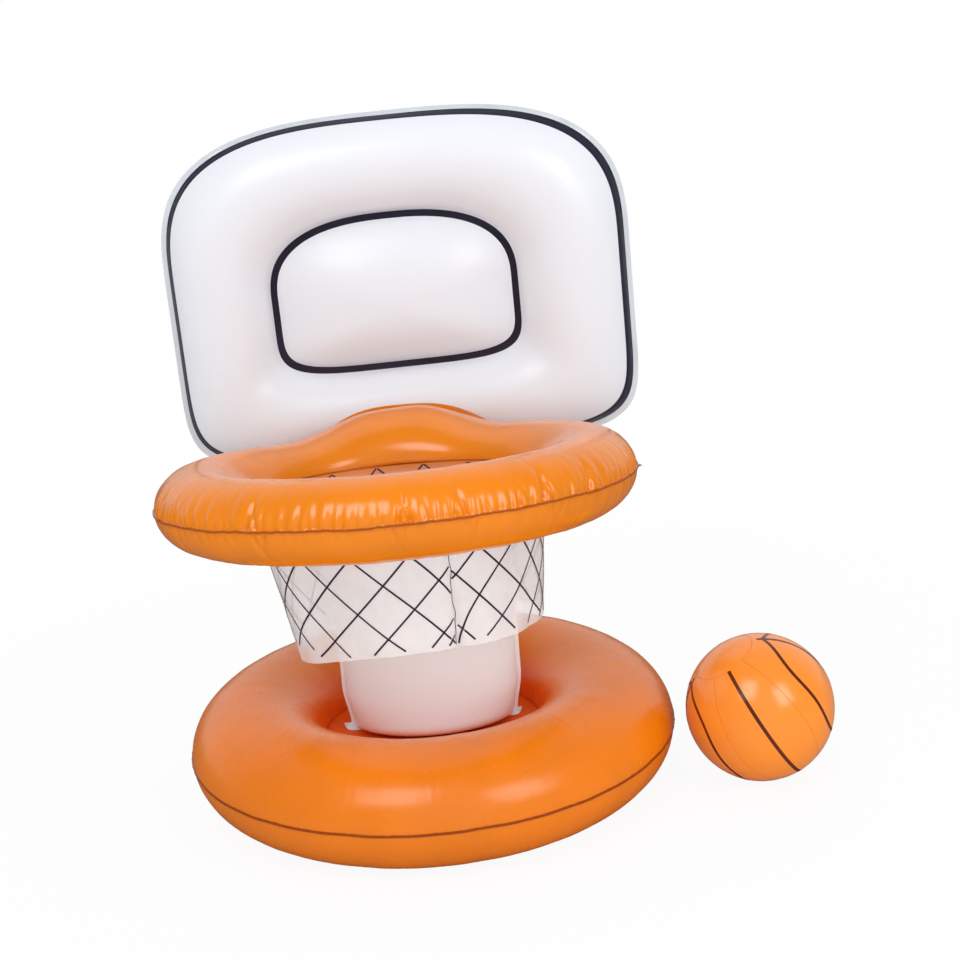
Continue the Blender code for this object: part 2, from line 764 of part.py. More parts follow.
def build():
    hub = make_empty("floating_hoop", Matrix.Identity(4))
    base = make_empty("base_float_axis", Matrix.Identity(4), hub)
    base_upper = make_base_ring(base)
    make_foot_patch(base)
    lift = Matrix.Translation(Vector((0, 0, base_seam_z)))
    make_valve("base", base_upper, base,
               outer_place(lift, pi / 2, base_hole_radius, base_outer_radius, base_height / 2, 1,
                           pi * base_valve_step / base_arc_steps))

    mast = make_empty("mast_sway_axis", Matrix.Translation((0, mast_y, mast_foot_z)), base)
    mast_rear = make_mast(mast)
    valve_z = mast_heights()[mast_valve_row]
    section = mast_section(valve_z, 1)
    rear = max(section, key=lambda point: point.y)
    make_valve("mast", mast_rear, mast, surface_place(rear, Vector((0, 1, 0)), Vector((1, 0, 0))))

    arc_y = (mast_arc_y(mast_center_x, mast_top_z)
             + mast_arc_y(mast_center_x + mast_top_half_width, mast_top_z)) / 2
    hoop = make_empty("hoop_nod_axis", Matrix.Translation((0, arc_y, mast_top_z)), mast)
    hoop_lower = make_hoop_ring(hoop)
    make_net_skirt(hoop)
    make_valve("hoop", hoop_lower, hoop,
               outer_place(ring_matrix, tau * hoop_valve_angle_step / hoop_segments, hoop_hole_radius,
                           hoop_outer_radius, hoop_bulge, -1, pi * hoop_valve_step / hoop_arc_steps))

    tube_z = (board_bottom_z + panel_bottom_z - panel_weld_width) / 2
    board = make_empty("board_flex_axis", Matrix.Translation((0, board_front_y, tube_z)), hoop)
    board_rear = make_backboard(board)
    crown = board_matrix() @ Vector((0, board_tube_half_depth, tube_z))
    make_valve("board", board_rear, board, surface_place(crown, Vector((0, 1, 0)), Vector((1, 0, 0))))

    ball = make_empty("ball_lift_axis", Matrix.Translation(ball_center), base)
    gores = make_ball(ball)
    matrix = ball_matrix()
    away = matrix.to_3x3() @ Vector((-1, 0, 0))
    make_valve("ball", gores[ball_gores // 2], ball,
               surface_place(ball_center + away * ball_radius, away, Vector((1, 0, 0))))
    return hub


def stand_on_origin(hub):
    """Put the origin under the middle of the whole set, at floor level."""
    bpy.context.view_layer.update()
    depsgraph = bpy.context.evaluated_depsgraph_get()
    low = [None] * 3
    high = [None] * 3
    for item in bpy.context.scene.objects:
        if item.type != "MESH" or item.hide_render:
            continue
        evaluated = item.evaluated_get(depsgraph)
        for vertex in evaluated.data.vertices:
            place = evaluated.matrix_world @ vertex.co
            for axis in range(3):
                low[axis] = place[axis] if low[axis] is None else min(low[axis], place[axis])
                high[axis] = place[axis] if high[axis] is None else max(high[axis], place[axis])
    hub.location = (-(low[0] + high[0]) / 2, -(low[1] + high[1]) / 2, -low[2])
    bpy.context.view_layer.update()
    print("size", [round(high[axis] - low[axis], 5) for axis in range(3)])
    for item in bpy.context.scene.objects:
        if item.type == "EMPTY":
            axis = item.matrix_world.to_3x3() @ Vector((0, 0, 1))
            print("axis", item.name, [round(value, 6) for value in item.matrix_world.translation],
                  [round(value, 6) for value in axis])
    print("range", "sway", mast_sway_range, "nod", hoop_nod_range, "flex", board_flex_range,
          "lift", ball_lift, "press", valve_press, "pull", valve_pull)


clear_scene()
materials = {name: make_finish(name) for name in finishes}
stand_on_origin(build())
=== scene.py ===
import json
import random
from math import cos, pi, radians, sin, sqrt, tau

import bmesh
import bpy
import numpy as np
from mathutils import Euler, Matrix, Vector

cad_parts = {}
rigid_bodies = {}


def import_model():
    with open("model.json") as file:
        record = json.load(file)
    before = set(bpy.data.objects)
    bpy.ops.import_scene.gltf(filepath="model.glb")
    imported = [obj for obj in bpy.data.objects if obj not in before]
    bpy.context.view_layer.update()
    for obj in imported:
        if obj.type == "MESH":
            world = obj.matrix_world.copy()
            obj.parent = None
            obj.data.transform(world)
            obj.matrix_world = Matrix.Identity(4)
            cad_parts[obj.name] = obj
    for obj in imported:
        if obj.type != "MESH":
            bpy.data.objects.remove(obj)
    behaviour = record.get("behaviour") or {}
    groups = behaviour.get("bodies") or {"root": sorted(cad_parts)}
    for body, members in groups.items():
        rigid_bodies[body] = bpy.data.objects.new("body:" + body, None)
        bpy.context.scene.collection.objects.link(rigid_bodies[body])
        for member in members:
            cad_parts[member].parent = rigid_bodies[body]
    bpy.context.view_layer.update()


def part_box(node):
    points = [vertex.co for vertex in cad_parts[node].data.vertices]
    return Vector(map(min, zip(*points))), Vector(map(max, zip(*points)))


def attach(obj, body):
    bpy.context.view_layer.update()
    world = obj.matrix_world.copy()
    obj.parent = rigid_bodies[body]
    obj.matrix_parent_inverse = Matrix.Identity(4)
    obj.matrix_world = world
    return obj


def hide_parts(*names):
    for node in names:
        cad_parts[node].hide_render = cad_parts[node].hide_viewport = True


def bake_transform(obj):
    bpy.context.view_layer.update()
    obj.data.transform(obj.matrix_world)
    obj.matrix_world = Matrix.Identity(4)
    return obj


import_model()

scene = bpy.context.scene
mm = 0.001

# Camera. A long lens stands in front of the set and a little to its left, looks down on it, and is held
# slightly turned. Places are measured from the hub, the middle of the base ring at floor level.
web_low, web_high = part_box("floor_web")
hub = Vector(((web_low.x + web_high.x) / 2, (web_low.y + web_high.y) / 2, 0))
camera_place = hub + Vector((0, -1.851, 0.845))
yaw, pitch, roll = radians(2.387), radians(14.781), radians(4.520)
forward = Vector((sin(yaw) * cos(pitch), cos(yaw) * cos(pitch), -sin(pitch)))
level = Vector((cos(yaw), -sin(yaw), 0))
lower = forward.cross(level)
across = cos(roll) * level + sin(roll) * lower
upward = sin(roll) * level - cos(roll) * lower
camera_data = bpy.data.cameras.new("camera")
camera_data.sensor_width = 36
camera_data.lens = 63.59
camera = bpy.data.objects.new("camera", camera_data)
scene.collection.objects.link(camera)
camera.matrix_world = (Matrix.Translation(camera_place)
                       @ Matrix((across, upward, -forward)).transposed().to_4x4())
scene.camera = camera


# Base ring. Two ring sheets of soft orange vinyl film, welded together along an outer and an inner seam
# and blown up tight. The weld lips are trimmed close, and the outer seam shows as a thin dark line, partly
# the lips' own colour and partly painted seam shade. Round the inside of the tube the film is painted a
# deeper red-orange, as shade towards the hole.
class Shade:
    """A socket of a material's node tree; maths on it adds Math nodes."""

    def __init__(self, tree, socket=None):
        self.tree = tree
        self.socket = socket

    def node(self, kind, settings=None, values=None, output=0):
        """Adds a node: settings are its properties, values its inputs by name or number."""
        made = self.tree.nodes.new(kind)
        for name, value in (settings or {}).items():
            setattr(made, name, value)
        for name, value in (values or {}).items():
            if isinstance(value, Shade):
                self.tree.links.new(value.socket, made.inputs[name])
            else:
                made.inputs[name].default_value = value
        return Shade(self.tree, made.outputs[output])

    def maths(self, operation, first, second, clamp=False):
        return self.node("ShaderNodeMath", {"operation": operation, "use_clamp": clamp},
                         {0: first, 1: second})

    def __add__(self, other):
        return self.maths("ADD", self, other)

    def __rsub__(self, other):
        return self.maths("SUBTRACT", other, self)

    def __mul__(self, other):
        return self.maths("MULTIPLY", self, other)

    def ramp(self, low, high):
        """0 below low, 1 above high, smooth between."""
        return self.node("ShaderNodeMapRange", {"interpolation_type": "SMOOTHSTEP"},
                         {"Value": self, "From Min": low, "From Max": high})

    def mix(self, first, second):
        """The first colour where this is 0, the second where it is 1."""
        return self.node("ShaderNodeMix", {"data_type": "RGBA"}, {0: self, 6: first, 7: second}, 2)

    def noise(self, scale, detail):
        return self.node("ShaderNodeTexNoise", {}, {"Vector": self, "Scale": scale, "Detail": detail})

    def marked(self, name):
        """The value from 0 to 1 that a mesh's points carry under this name."""
        return self.node("ShaderNodeAttribute", {"attribute_name": name}, {}, 2)

    __radd__ = __add__
    __rmul__ = __mul__


def vinyl(name, color, roughness, grain=0.10, drift=1.0, mottle=0.05, weld_color=None, painted_shade_color=None,
          specular=0.5, sockets=None):
    """Plasticised film: fine satin grain, faint cloudy colour, a weld colour along its welds (on the orange
    films a darker line, partly the welds' own tone and partly painted seam shade), and a painted shade colour
    where the points are marked deep.
    """
    material = bpy.data.materials.new(name)
    material.use_nodes = True
    tree = material.node_tree
    shader = tree.nodes["Principled BSDF"]
    place = Shade(tree).node("ShaderNodeTexCoord", output="Object")
    smears = place.noise(55, 3)
    deep = tuple(value * (1 - mottle) for value in color)
    light = tuple(min(value * (1 + mottle), 1) for value in color)
    tint = place.noise(9, 2).ramp(0.3, 0.7).mix((*deep, 1), (*light, 1))
    # Painted shade: a deeper colour where the points' deep mark is set.
    if painted_shade_color is not None:
        tint = place.marked("deep").mix(tint, (*painted_shade_color, 1))
    # Colour along the welds: the welds' own tone, with painted seam shade where it is darker.
    if weld_color is not None:
        tint = place.marked("weld").mix(tint, (*weld_color, 1))
    tree.links.new(tint.socket, shader.inputs["Base Color"])
    rough = roughness - 0.04 * drift + smears * (0.08 * drift)
    tree.links.new(rough.socket, shader.inputs["Roughness"])
    height = place.noise(1400, 1) * 0.25 + smears * drift
    bump = height.node("ShaderNodeBump", {}, {"Height": height, "Strength": grain, "Distance": 0.3 * mm})
    tree.links.new(bump.socket, shader.inputs["Normal"])
    shader.inputs["Specular IOR Level"].default_value = specular
    for socket, value in (sockets or {}).items():
        shader.inputs[socket].default_value = value
    return material


def shape_from(points, faces):
    """A bmesh of these points and faces."""
    draft = bpy.data.meshes.new("draft")
    draft.from_pydata(points, [], faces)
    shape = bmesh.new()
    shape.from_mesh(draft)
    bpy.data.meshes.remove(draft)
    return shape


def bridge(shape, ring, after, slot=0):
    """Faces between one closed loop of vertices and the next."""
    for place, vertex in enumerate(ring):
        other = (place + 1) % len(ring)
        shape.faces.new((vertex, ring[other], after[other], after[place])).material_index = slot


def fan(shape, ring, tip):
    """Faces from a closed loop of vertices to the point that closes it."""
    for place, vertex in enumerate(ring):
        shape.faces.new((vertex, ring[(place + 1) % len(ring)], tip))


def piece_from(name, shape, matrix=None):
    """A piece from a bmesh: its faces turned outward, smooth but for its sharp edges."""
    bmesh.ops.recalc_face_normals(shape, faces=shape.faces)
    mesh = bpy.data.meshes.new(name)
    shape.to_mesh(mesh)
    shape.free()
    if matrix is not None:
        mesh.transform(matrix)
    mesh.shade_smooth()
    mesh.set_sharp_from_angle(angle=crease_angle)
    piece = bpy.data.objects.new(name, mesh)
    scene.collection.objects.link(piece)
    return piece


def lofted(name, rows, closed=True, weld=None, deep=None):
    """A piece from rows of points, each row a closed outline; closed joins the last row to the first."""
    rows = np.asarray(rows, float)
    count, size = rows.shape[:2]
    index = np.arange(count * size).reshape(count, size)
    before, after = (index, np.roll(index, -1, 0)) if closed else (index[:-1], index[1:])
    faces = np.stack([before, np.roll(before, -1, 1), np.roll(after, -1, 1), after], -1)
    faces = faces.reshape(-1, 4).tolist()
    if not closed:
        faces += [index[0][::-1].tolist(), index[-1].tolist()]
    piece = piece_from(name, shape_from(rows.reshape(-1, 3).tolist(), faces))
    for mark, values in (("weld", weld), ("deep", deep)):
        if values is not None:
            piece.data.attributes.new(mark, "FLOAT", "POINT").data.foreach_set(
                "value", np.asarray(values, np.float32).ravel())
    return piece


def dress(piece, body, material_slot, material, *replaced, fill=None):
    """Gives a piece its finish and its body, and hides the CAD nodes that it stands for."""
    if not piece.data.materials:
        piece.data.materials.append(material)
    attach(piece, body)
    if replaced:
        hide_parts(*replaced)
    return piece


def quarter(vectors):
    """Radial-plane directions turned a quarter turn towards +Z."""
    return np.stack([-vectors[..., 1], vectors[..., 0]], -1)


def unit(vectors):
    return vectors / np.linalg.norm(vectors, axis=-1, keepdims=True)


def tube_rows(seam_in, seam_out, tip_in, tip_out, bulge, side, arc, press):
    """(radius, height) outlines of a ring's upper (+1) or lower (-1) sheet, lips included.

    The seams and tips are one point for each direction round the ring, arc the angles round the tube
    from its outer seam, and press how far the sheet is drawn in at each.
    """
    chord = seam_out - seam_in
    half = np.linalg.norm(chord, axis=-1)[:, None, None] / 2
    along = unit(chord)
    up = quarter(along) * side
    lip_up = quarter(unit(tip_out - seam_out)) * side
    root_up = unit(up + lip_up)
    middle = ((seam_in + seam_out) / 2)[:, None]
    turn, swell = np.cos(arc)[None, :, None], np.sin(arc)[None, :, None]
    bulge = np.asarray(bulge, float).reshape(-1, 1, 1)
    out = unit(along[:, None] * turn / half + up[:, None] * swell / bulge)
    sheet = middle + along[:, None] * half * turn + up[:, None] * np.maximum(bulge * swell, lip_top)
    sheet = sheet - out * press[:, :, None]
    sheet[:, 0] = seam_out + root_up * lip_top
    ends = [tip_out + lip_up * lip_foot, tip_out + lip_up * lip_top]
    back = [tip_in + up * lip_top, tip_in + up * lip_foot, seam_in + up * lip_foot,
            seam_out + root_up * lip_foot]
    return np.concatenate([np.stack(ends, 1), sheet, np.stack(back, 1)], 1)


def round_ring(angles, outline):
    """(radius, height) outlines placed at their angles round Z."""
    radius, height = outline[..., 0], outline[..., 1]
    return np.stack([radius * np.cos(angles)[:, None], radius * np.sin(angles)[:, None], height], -1)


def moved(matrix, points):
    turn = np.array(matrix.to_3x3())
    return points @ turn.T + np.array(matrix.translation)


def waves(angles, counts, seed):
    """A ripple round a ring: a sum of sines of about unit height with settled chance phases."""
    chance = random.Random(seed)
    total = sum(np.sin(count * angles + chance.uniform(0, tau)) for count in counts)
    return total / sqrt(len(counts))


def creases(angles, distance, radius, marks):
    """How far creases that run up from a seam draw a sheet in; a negative depth raises a fold.

    Each mark is the crease's angle, depth, half width, reach and slant; distance is measured from the seam.
    """
    drawn = np.zeros((len(angles), len(distance)))
    for angle, depth, width, reach, slant in marks:
        aside = ((angles - angle + pi) % tau - pi) * radius
        near = np.abs(aside) < 9 * width
        spread = width * (1 + 0.7 * distance / reach)[None, :]
        shape = np.exp(-((aside[near, None] - slant * distance[None, :]) / spread) ** 2)
        drawn[near] += depth * shape * np.exp(-(distance / reach) ** 2)[None, :]
    return drawn * (1 - np.exp(-distance / (1.5 * mm)))[None, :]


def eased(share):
    """The share from 0 to 1, eased at both ends."""
    share = np.clip(share, 0, 1)
    return share * share * (3 - 2 * share)


crease_angle = radians(38)
lip_foot, lip_top = 0.15 * mm, 0.95 * mm
base_outer, base_hole, base_half_height, base_seam_z = 280 * mm, 126 * mm, 65 * mm, 64.5 * mm
base_angles = np.linspace(0, tau, 720, endpoint=False)
base_arc = np.concatenate([np.linspace(0, 0.3, 10), np.linspace(0.3, pi, 45)[1:]])
base_distance = base_arc * 70 * mm
ripple = waves(base_angles, (9, 14, 23, 37), 3) * 0.35 * mm
fret = waves(base_angles, (88, 131, 167, 203), 5) * 0.28 * mm
chance = random.Random(11)
base_marks = [(tau * (step + chance.uniform(-0.4, 0.4)) / 110, chance.uniform(0.05, 0.22) * mm, 3.2 * mm,
               chance.uniform(4, 10) * mm, 0) for step in range(110)]
base_press = creases(base_angles, base_distance, base_outer, base_marks)
# The darker weld colour is partly painted seam shade; the deeper red-orange is painted shade round the inside
# of the tube, towards the hole.
base_material = vinyl("base_vinyl_look", (0.815, 0.195, 0.0008), 0.27, drift=0.35,
                      weld_color=(0.30, 0.045, 0.002), specular=0.7, painted_shade_color=(0.93, 0.115, 0.0008))


def base_points(radius, height):
    return np.stack([np.full_like(base_angles, radius), np.full_like(base_angles, height)], -1)


for name, side, replaced in (("base_ring_upper_sheet", 1, "base_ring_upper_half"),
                             ("base_ring_lower_sheet", -1, "base_ring_lower_half")):
    seam_out = base_points(base_outer, base_seam_z)
    seam_out[:, 1] += ripple + fret * 0.4
    tip_out = seam_out + base_points(1.1 * mm, 0)
    tip_out[:, 0] += fret
    seam_in = base_points(base_hole, base_seam_z)
    tip_in = base_points(base_hole - 4 * mm, base_seam_z)
    outline = tube_rows(seam_in, seam_out, tip_in, tip_out, base_half_height, side, base_arc, base_press)
    points = round_ring(base_angles, outline) + np.array(hub)
    points[..., 2] = np.maximum(points[..., 2], 0)
    # The weld lips take the darker weld colour, which is partly painted seam shade.
    lip = np.zeros(outline.shape[:2])
    lip[:, :3] = 0.9
    lip[:, -4:] = 0.9
    # Painted shade: the deeper red-orange fades in round the inside of the tube, towards the hole.
    deep = np.zeros(outline.shape[:2])
    deep[:, 2:2 + len(base_arc)] = eased(base_arc - 2.0)
    dress(lofted(name, points, weld=lip, deep=deep), "base_float", "base_vinyl", base_material, replaced,
          fill=1.0)


# Floor web. A disc of the same orange film, coloured a deeper red-orange as painted shade in the hole,
# welded into the base ring's inner seam and drawn tight. It carries the column, and its film puckers a
# little towards the column's foot.
web_radius = base_hole - 0.8 * mm
web_z, web_thickness = web_low.z, 0.5 * mm
web_rings = np.linspace(0, 1, 26)[1:] ** 0.8
web_angles = np.linspace(0, tau, 144, endpoint=False)
foot_half_length, foot_half_width = 105 * mm, 13 * mm
foot_middle = hub + Vector((mm, 16 * mm, 0))


def web_wrinkle(x, y):
    """Shallow folds that fan out from the ends of the column's foot."""
    total = 0
    for end in (-1, 1):
        away_x = x - foot_middle.x - end * foot_half_length * 0.9
        away_y = y - foot_middle.y
        folds = np.sin(9 * np.arctan2(away_y, away_x * end + 30 * mm) + end)
        total = total + folds * np.exp(-(np.hypot(away_x, away_y) / (45 * mm)) ** 2)
    rim = np.clip((web_radius - np.hypot(x - hub.x, y - hub.y)) / (15 * mm), 0, 1)
    foot = np.clip((np.abs(y - foot_middle.y) - foot_half_width - mm) / (12 * mm), 0, 1)
    return total * rim * foot * 0.9 * mm


web_shape = bmesh.new()
web_lines = []
for angle in web_angles:
    x = hub.x + web_radius * web_rings * cos(angle)
    y = hub.y + web_radius * web_rings * sin(angle)
    top = web_z + web_thickness + 0.3 * mm - np.abs(web_wrinkle(x, y))
    upper = np.stack([x, y, top], -1)
    under = np.stack([x, y, top - web_thickness], -1)
    web_lines.append([web_shape.verts.new(point) for point in np.concatenate([upper, under[::-1]])])
web_loops = list(zip(*web_lines))
for ring, after in zip(web_loops, web_loops[1:]):
    bridge(web_shape, ring, after)
for ring in (web_loops[0], web_loops[-1]):
    fan(web_shape, ring, web_shape.verts.new(sum((vertex.co for vertex in ring), Vector()) / len(ring)))
web = piece_from("floor_web_film", web_shape)
# The web's deeper red-orange is painted shade for the hole under the column.
web_material = vinyl("web_vinyl_look", (0.80, 0.105, 0.001), 0.42, specular=0.1)
dress(web, "base_float", "base_vinyl", web_material, "floor_web")


# Foot patch. A strip of the column's white film that welds its foot to the web. Its rounded ends stay free
# and show as small white tabs on both sides of the column.
patch_low, patch_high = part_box("mast_foot_patch")
patch_film_low, patch_film_high = patch_low.z + 0.1 * mm, patch_low.z + 0.8 * mm
patch_free_end, patch_curl = 5.5 * mm, 4 * mm
patch_rows = []
for share in np.linspace(0, 1, 41):
    x = foot_middle.x - foot_half_length * cos(pi * share)
    aside = max(abs(x - foot_middle.x) - (foot_half_length - foot_half_width), 0)
    half = max(sqrt(max(foot_half_width ** 2 - aside ** 2, 0)), 0.3 * mm)
    curl = patch_curl * (max(aside - foot_half_width + patch_free_end, 0) / patch_free_end) ** 2
    across_film = half * np.linspace(1, -1, 13)
    patch_rows.append([(x, foot_middle.y + away, patch_film_high + curl) for away in across_film]
                      + [(x, foot_middle.y - away, patch_film_low + curl) for away in across_film])
white_look = vinyl("column_vinyl_look", (0.92, 0.96, 0.98), 0.34, grain=0.08, drift=0.2, mottle=0.01,
                   weld_color=(0.93, 0.92, 0.94))
patch = dress(lofted("foot_patch_film", patch_rows, closed=False), "base_float", "mast_vinyl", white_look,
              "mast_foot_patch")


# Column. Front and rear sheets of white film, welded down both sides and blown up to a pillow. It is
# pinched shut on the foot patch, and at the top it leans back to the arc of the rim's inner seam, inside
# the net, whose cone and place are therefore given here.
column_x, column_y = 3 * mm, 16 * mm
column_half_width, column_foot_width, column_top_width, column_lip = 101 * mm, 94 * mm, 55 * mm, 4 * mm
column_forms = {-1: (78 * mm, 22 * mm, 3.2), 1: (48 * mm, 55 * mm, 2)}
column_foot_widening = 50 * mm
column_foot_z = patch_low.z + 0.8 * mm + 0.3 * mm
ring_middle = Vector((-16.3, -60, 375.7)) * mm
ring_tilt = Euler((radians(-6.19), radians(-0.56), 0)).to_matrix()
ring_matrix = Matrix.Translation(hub + ring_middle) @ ring_tilt.to_4x4()
skirt_top_radius, skirt_hem_radius, skirt_height = 161.2 * mm, 137.5 * mm, 172 * mm
skirt_shift = Vector((12.5, 12.5, 0)) * mm
skirt_lip_drop = 1.25 * mm
column_top_drop, column_clearance, nod_angle = 13 * mm, 2.55 * mm, radians(3)
column_top_z = (ring_matrix @ Vector((0, skirt_top_radius, -skirt_lip_drop - column_top_drop))).z
lean_start, shoulder_start, shoulder_width_start = 225 * mm, 250 * mm, 285 * mm


def column_arc(x, height):
    """Depth of the arc, inside the skirt's back, to which the column leans at a height."""
    below = column_top_z + column_top_drop - height
    share = below / skirt_height
    inside = column_clearance + below * sin(nod_angle)
    radius = skirt_top_radius + (skirt_hem_radius - skirt_top_radius) * share - inside
    aside = x - ring_middle.x - skirt_shift.x * share
    return ring_middle.y + skirt_shift.y * share + sqrt(radius ** 2 - aside ** 2) * cos(radians(6.19))


def column_section(height, side, dents):
    """Outline of the front (-1) or rear (+1) sheet at a height, from lip to lip and back."""
    foot = eased((height - column_foot_z) / column_foot_widening)
    width = column_foot_width + (column_half_width - column_foot_width) * foot
    shoulder = min(max((height - shoulder_width_start) / (column_top_z - shoulder_width_start), 0), 1)
    width += (column_top_width - width) * (1 - sqrt(1 - shoulder ** 2))
    lean = eased((height - lean_start) / (column_top_z - lean_start))
    full_depth, foot_round, power = column_forms[side]
    swell = min(max((height - column_foot_z - 0.6 * mm) / foot_round, 0), 1)
    full = full_depth * (1 - (1 - swell) ** power) ** (1 / power)
    top_y = column_arc(column_x, column_top_z)
    middle_y = column_y + (column_arc(column_x, height) - column_y) * lean
    if side < 0:
        over = min(max((height - shoulder_start) / (column_top_z - shoulder_start), 0), 1)
        depth = middle_y - top_y + (top_y - column_y + full) * sqrt(1 - over ** 2)
    else:
        low = max((height - lean_start) / (column_top_z - lean_start), 0)
        depth = column_y + full + (top_y - column_y - full) * low - middle_y
    points = [(-width - column_lip, lip_foot), (-width - column_lip, lip_top)]
    for step in range(65):
        u = -cos(pi * step / 64)
        bulge = depth * sqrt(max(1 - u * u, 0))
        edge = (1 - abs(u)) * width
        bulge -= sum(d * np.exp(-((height - z) / (2.6 * mm)) ** 2 - (edge / reach) ** 2)
                     * min(edge / (1.2 * mm), 1) for z, d, reach in dents[0 if u < 0 else 1])
        points.append((width * u, max(bulge, lip_top)))
    points += [(width + column_lip, lip_top), (width + column_lip, lip_foot)]
    section = []
    for x, out in points:
        arc = column_arc(column_x + x, height) if lean > 0 else column_y
        seam_y = column_y + (arc - column_y) * lean
        section.append((hub.x + column_x + x, hub.y + seam_y + side * out, height))
    return section


chance = random.Random(23)
column_heights = [column_foot_z + (column_top_z - column_foot_z) * (1 - cos(pi * row / 90)) / 2
                  for row in range(91)]
for name, side, replaced in (("column_front_sheet", -1, "mast_front_half"),
                             ("column_rear_sheet", 1, "mast_rear_half")):
    dents = [[((column_foot_z + (12 + 13 * step + chance.uniform(-4, 4)) * mm), chance.uniform(0.2, 0.9) * mm,
               chance.uniform(8, 17) * mm) for step in range(20)] for edge in (0, 1)]
    rows = np.array([column_section(height, side, dents) for height in column_heights])
    lip = np.zeros(rows.shape[:2])
    lip[:, [0, 1, 2, -1, -2, -3]] = 1
    dress(lofted(name, rows, closed=False, weld=lip), "mast", "mast_vinyl", white_look, replaced, fill=0.9)


# Rim. Two ring sheets of glossier orange film, welded and blown up tight, so its outer seam gathers in
# many small puckers. At the back the tube is drawn up in a hump, whose lip is welded to the backboard.
rim_outer, rim_hole, rim_half_height = 262 * mm, 164.4 * mm, 42.7 * mm
flap_y, flex_z, flex_angle = 201.75 * mm, 399 * mm, radians(4)
rim_angles = np.linspace(0, tau, 1260, endpoint=False)
rim_arc = np.concatenate([np.linspace(0, 0.9, 27), np.linspace(0.9, pi, 30)[1:]])
rim_tube_radius = 46 * mm
rim_distance = rim_arc * rim_tube_radius


def toward_back(full_angle, end_angle):
    """1 at the back of the rim, and out to full_angle from there; 0 beyond end_angle."""
    return eased((end_angle - np.abs(rim_angles - pi / 2)) / (end_angle - full_angle))


lift = toward_back(radians(7), radians(51)) ** 1.9
crown = toward_back(0, radians(85))
rim_ripple = waves(rim_angles, (7, 11, 19, 31), 17) * 0.5 * mm
rim_ripple += waves(rim_angles, (67, 101, 131), 19) * 0.22 * mm


def rim_points(radius, height=0.0):
    return np.stack([radius + 0 * rim_angles, height + 0 * rim_angles], -1)


def on_board(x, height):
    """Places on the backboard, in the ring's own radial planes; below the flexing line they stand clear."""
    back = ring_matrix.inverted()
    clear = np.maximum(flex_z - np.asarray(height), 0) * sin(flex_angle)
    places = [back @ Vector((a, hub.y + flap_y - c, z)) for a, c, z in zip(x, clear, height)]
    return np.array([(place.y / sin(angle) if abs(sin(angle)) > 0.2 else rim_outer, place.z)
                     for place, angle in zip(places, rim_angles)])


rim_x = moved(ring_matrix, round_ring(rim_angles, rim_points(rim_outer)[:, None]))[:, 0, 0]
board_radius = 373 * mm
weld_z = 396 * mm - (board_radius - np.sqrt(board_radius ** 2 - (rim_x - hub.x - 8.8 * mm) ** 2))
flap_aside = np.abs(rim_x - hub.x + 4 * mm)
edge_z = 408 * mm - 24.5 * mm * (flap_aside / (90 * mm)) ** 3
tab = (eased((112 * mm - flap_aside) / (18 * mm)) * (lift > 0))[:, None]
lifted = lift[:, None]
rim_seam = rim_points(rim_outer)
rim_seam[:, 1] += rim_ripple * (1 - lift)
rim_seam = rim_seam * (1 - lifted) + on_board(rim_x, weld_z) * lifted
nub = 3.2 * mm * np.exp(-((((rim_angles + radians(8) + pi) % tau) - pi) * rim_outer / (3 * mm)) ** 2)
rim_lip = rim_seam + rim_points(1.5 * mm)
rim_lip[:, 0] += nub
rim_lip = rim_lip * (1 - tab) + on_board(rim_x, edge_z) * tab
rim_inner = rim_points(rim_hole)
rim_inner_lip = rim_points(rim_hole - 4 * mm)


def gathers(seed, count, depth, width, reach, strong):
    """Small creases at even spacing with settled chance, and strong ones, each a pair round a raised fold."""
    chance = random.Random(seed)
    marks = []
    for step in range(count):
        angle = tau * (step + chance.uniform(-0.32, 0.32)) / count
        size = chance.uniform(0.45, 1.15)
        faded = 1 - 0.85 * eased((radians(60) - abs(angle - pi / 2)) / radians(20))
        marks.append((angle, depth * size * faded, width * chance.uniform(0.8, 1.25),
                      reach * chance.uniform(0.7, 1.25), chance.uniform(-0.12, 0.12)))
    for angle, size in strong:
        turn = radians(angle) % tau
        for side in (-1, 1):
            foot = (turn + side * 6.5 * mm / rim_outer) % tau
            marks.append((foot, 2.6 * size * mm, 2.2 * mm, 30 * mm, -0.22 * side))
        marks.append((turn, -1.4 * size * mm, 4 * mm, 22 * mm, 0))
    return marks


strong_upper = [(-122.8, 1.3), (-88.7, 1.3), (-76.6, 1.1), (-55.6, 1.3), (-41.2, 1.1), (-62, 0.7),
                (-160, 0.8), (10, 1.0), (28, 0.8), (160, 0.9), (-12, 0.8)]
strong_lower = [(-121, 0.8), (-90, 0.7), (-74, 0.6), (-53, 0.7), (-150, 0.7), (5, 0.8), (24, 0.7), (150, 0.8)]
upper_marks = gathers(31, 132, 2.5 * mm, 2.8 * mm, 27 * mm, strong_upper)
lower_marks = gathers(37, 124, 1.1 * mm, 2.9 * mm, 18 * mm, strong_lower)
side_folds = [(radians(90 + sign * spread), 0.8 * mm, 3 * mm, 34 * mm, 0)
              for sign in (-1, 1) for spread in (31, 34.5, 38, 42, 47)]
upper_marks += side_folds
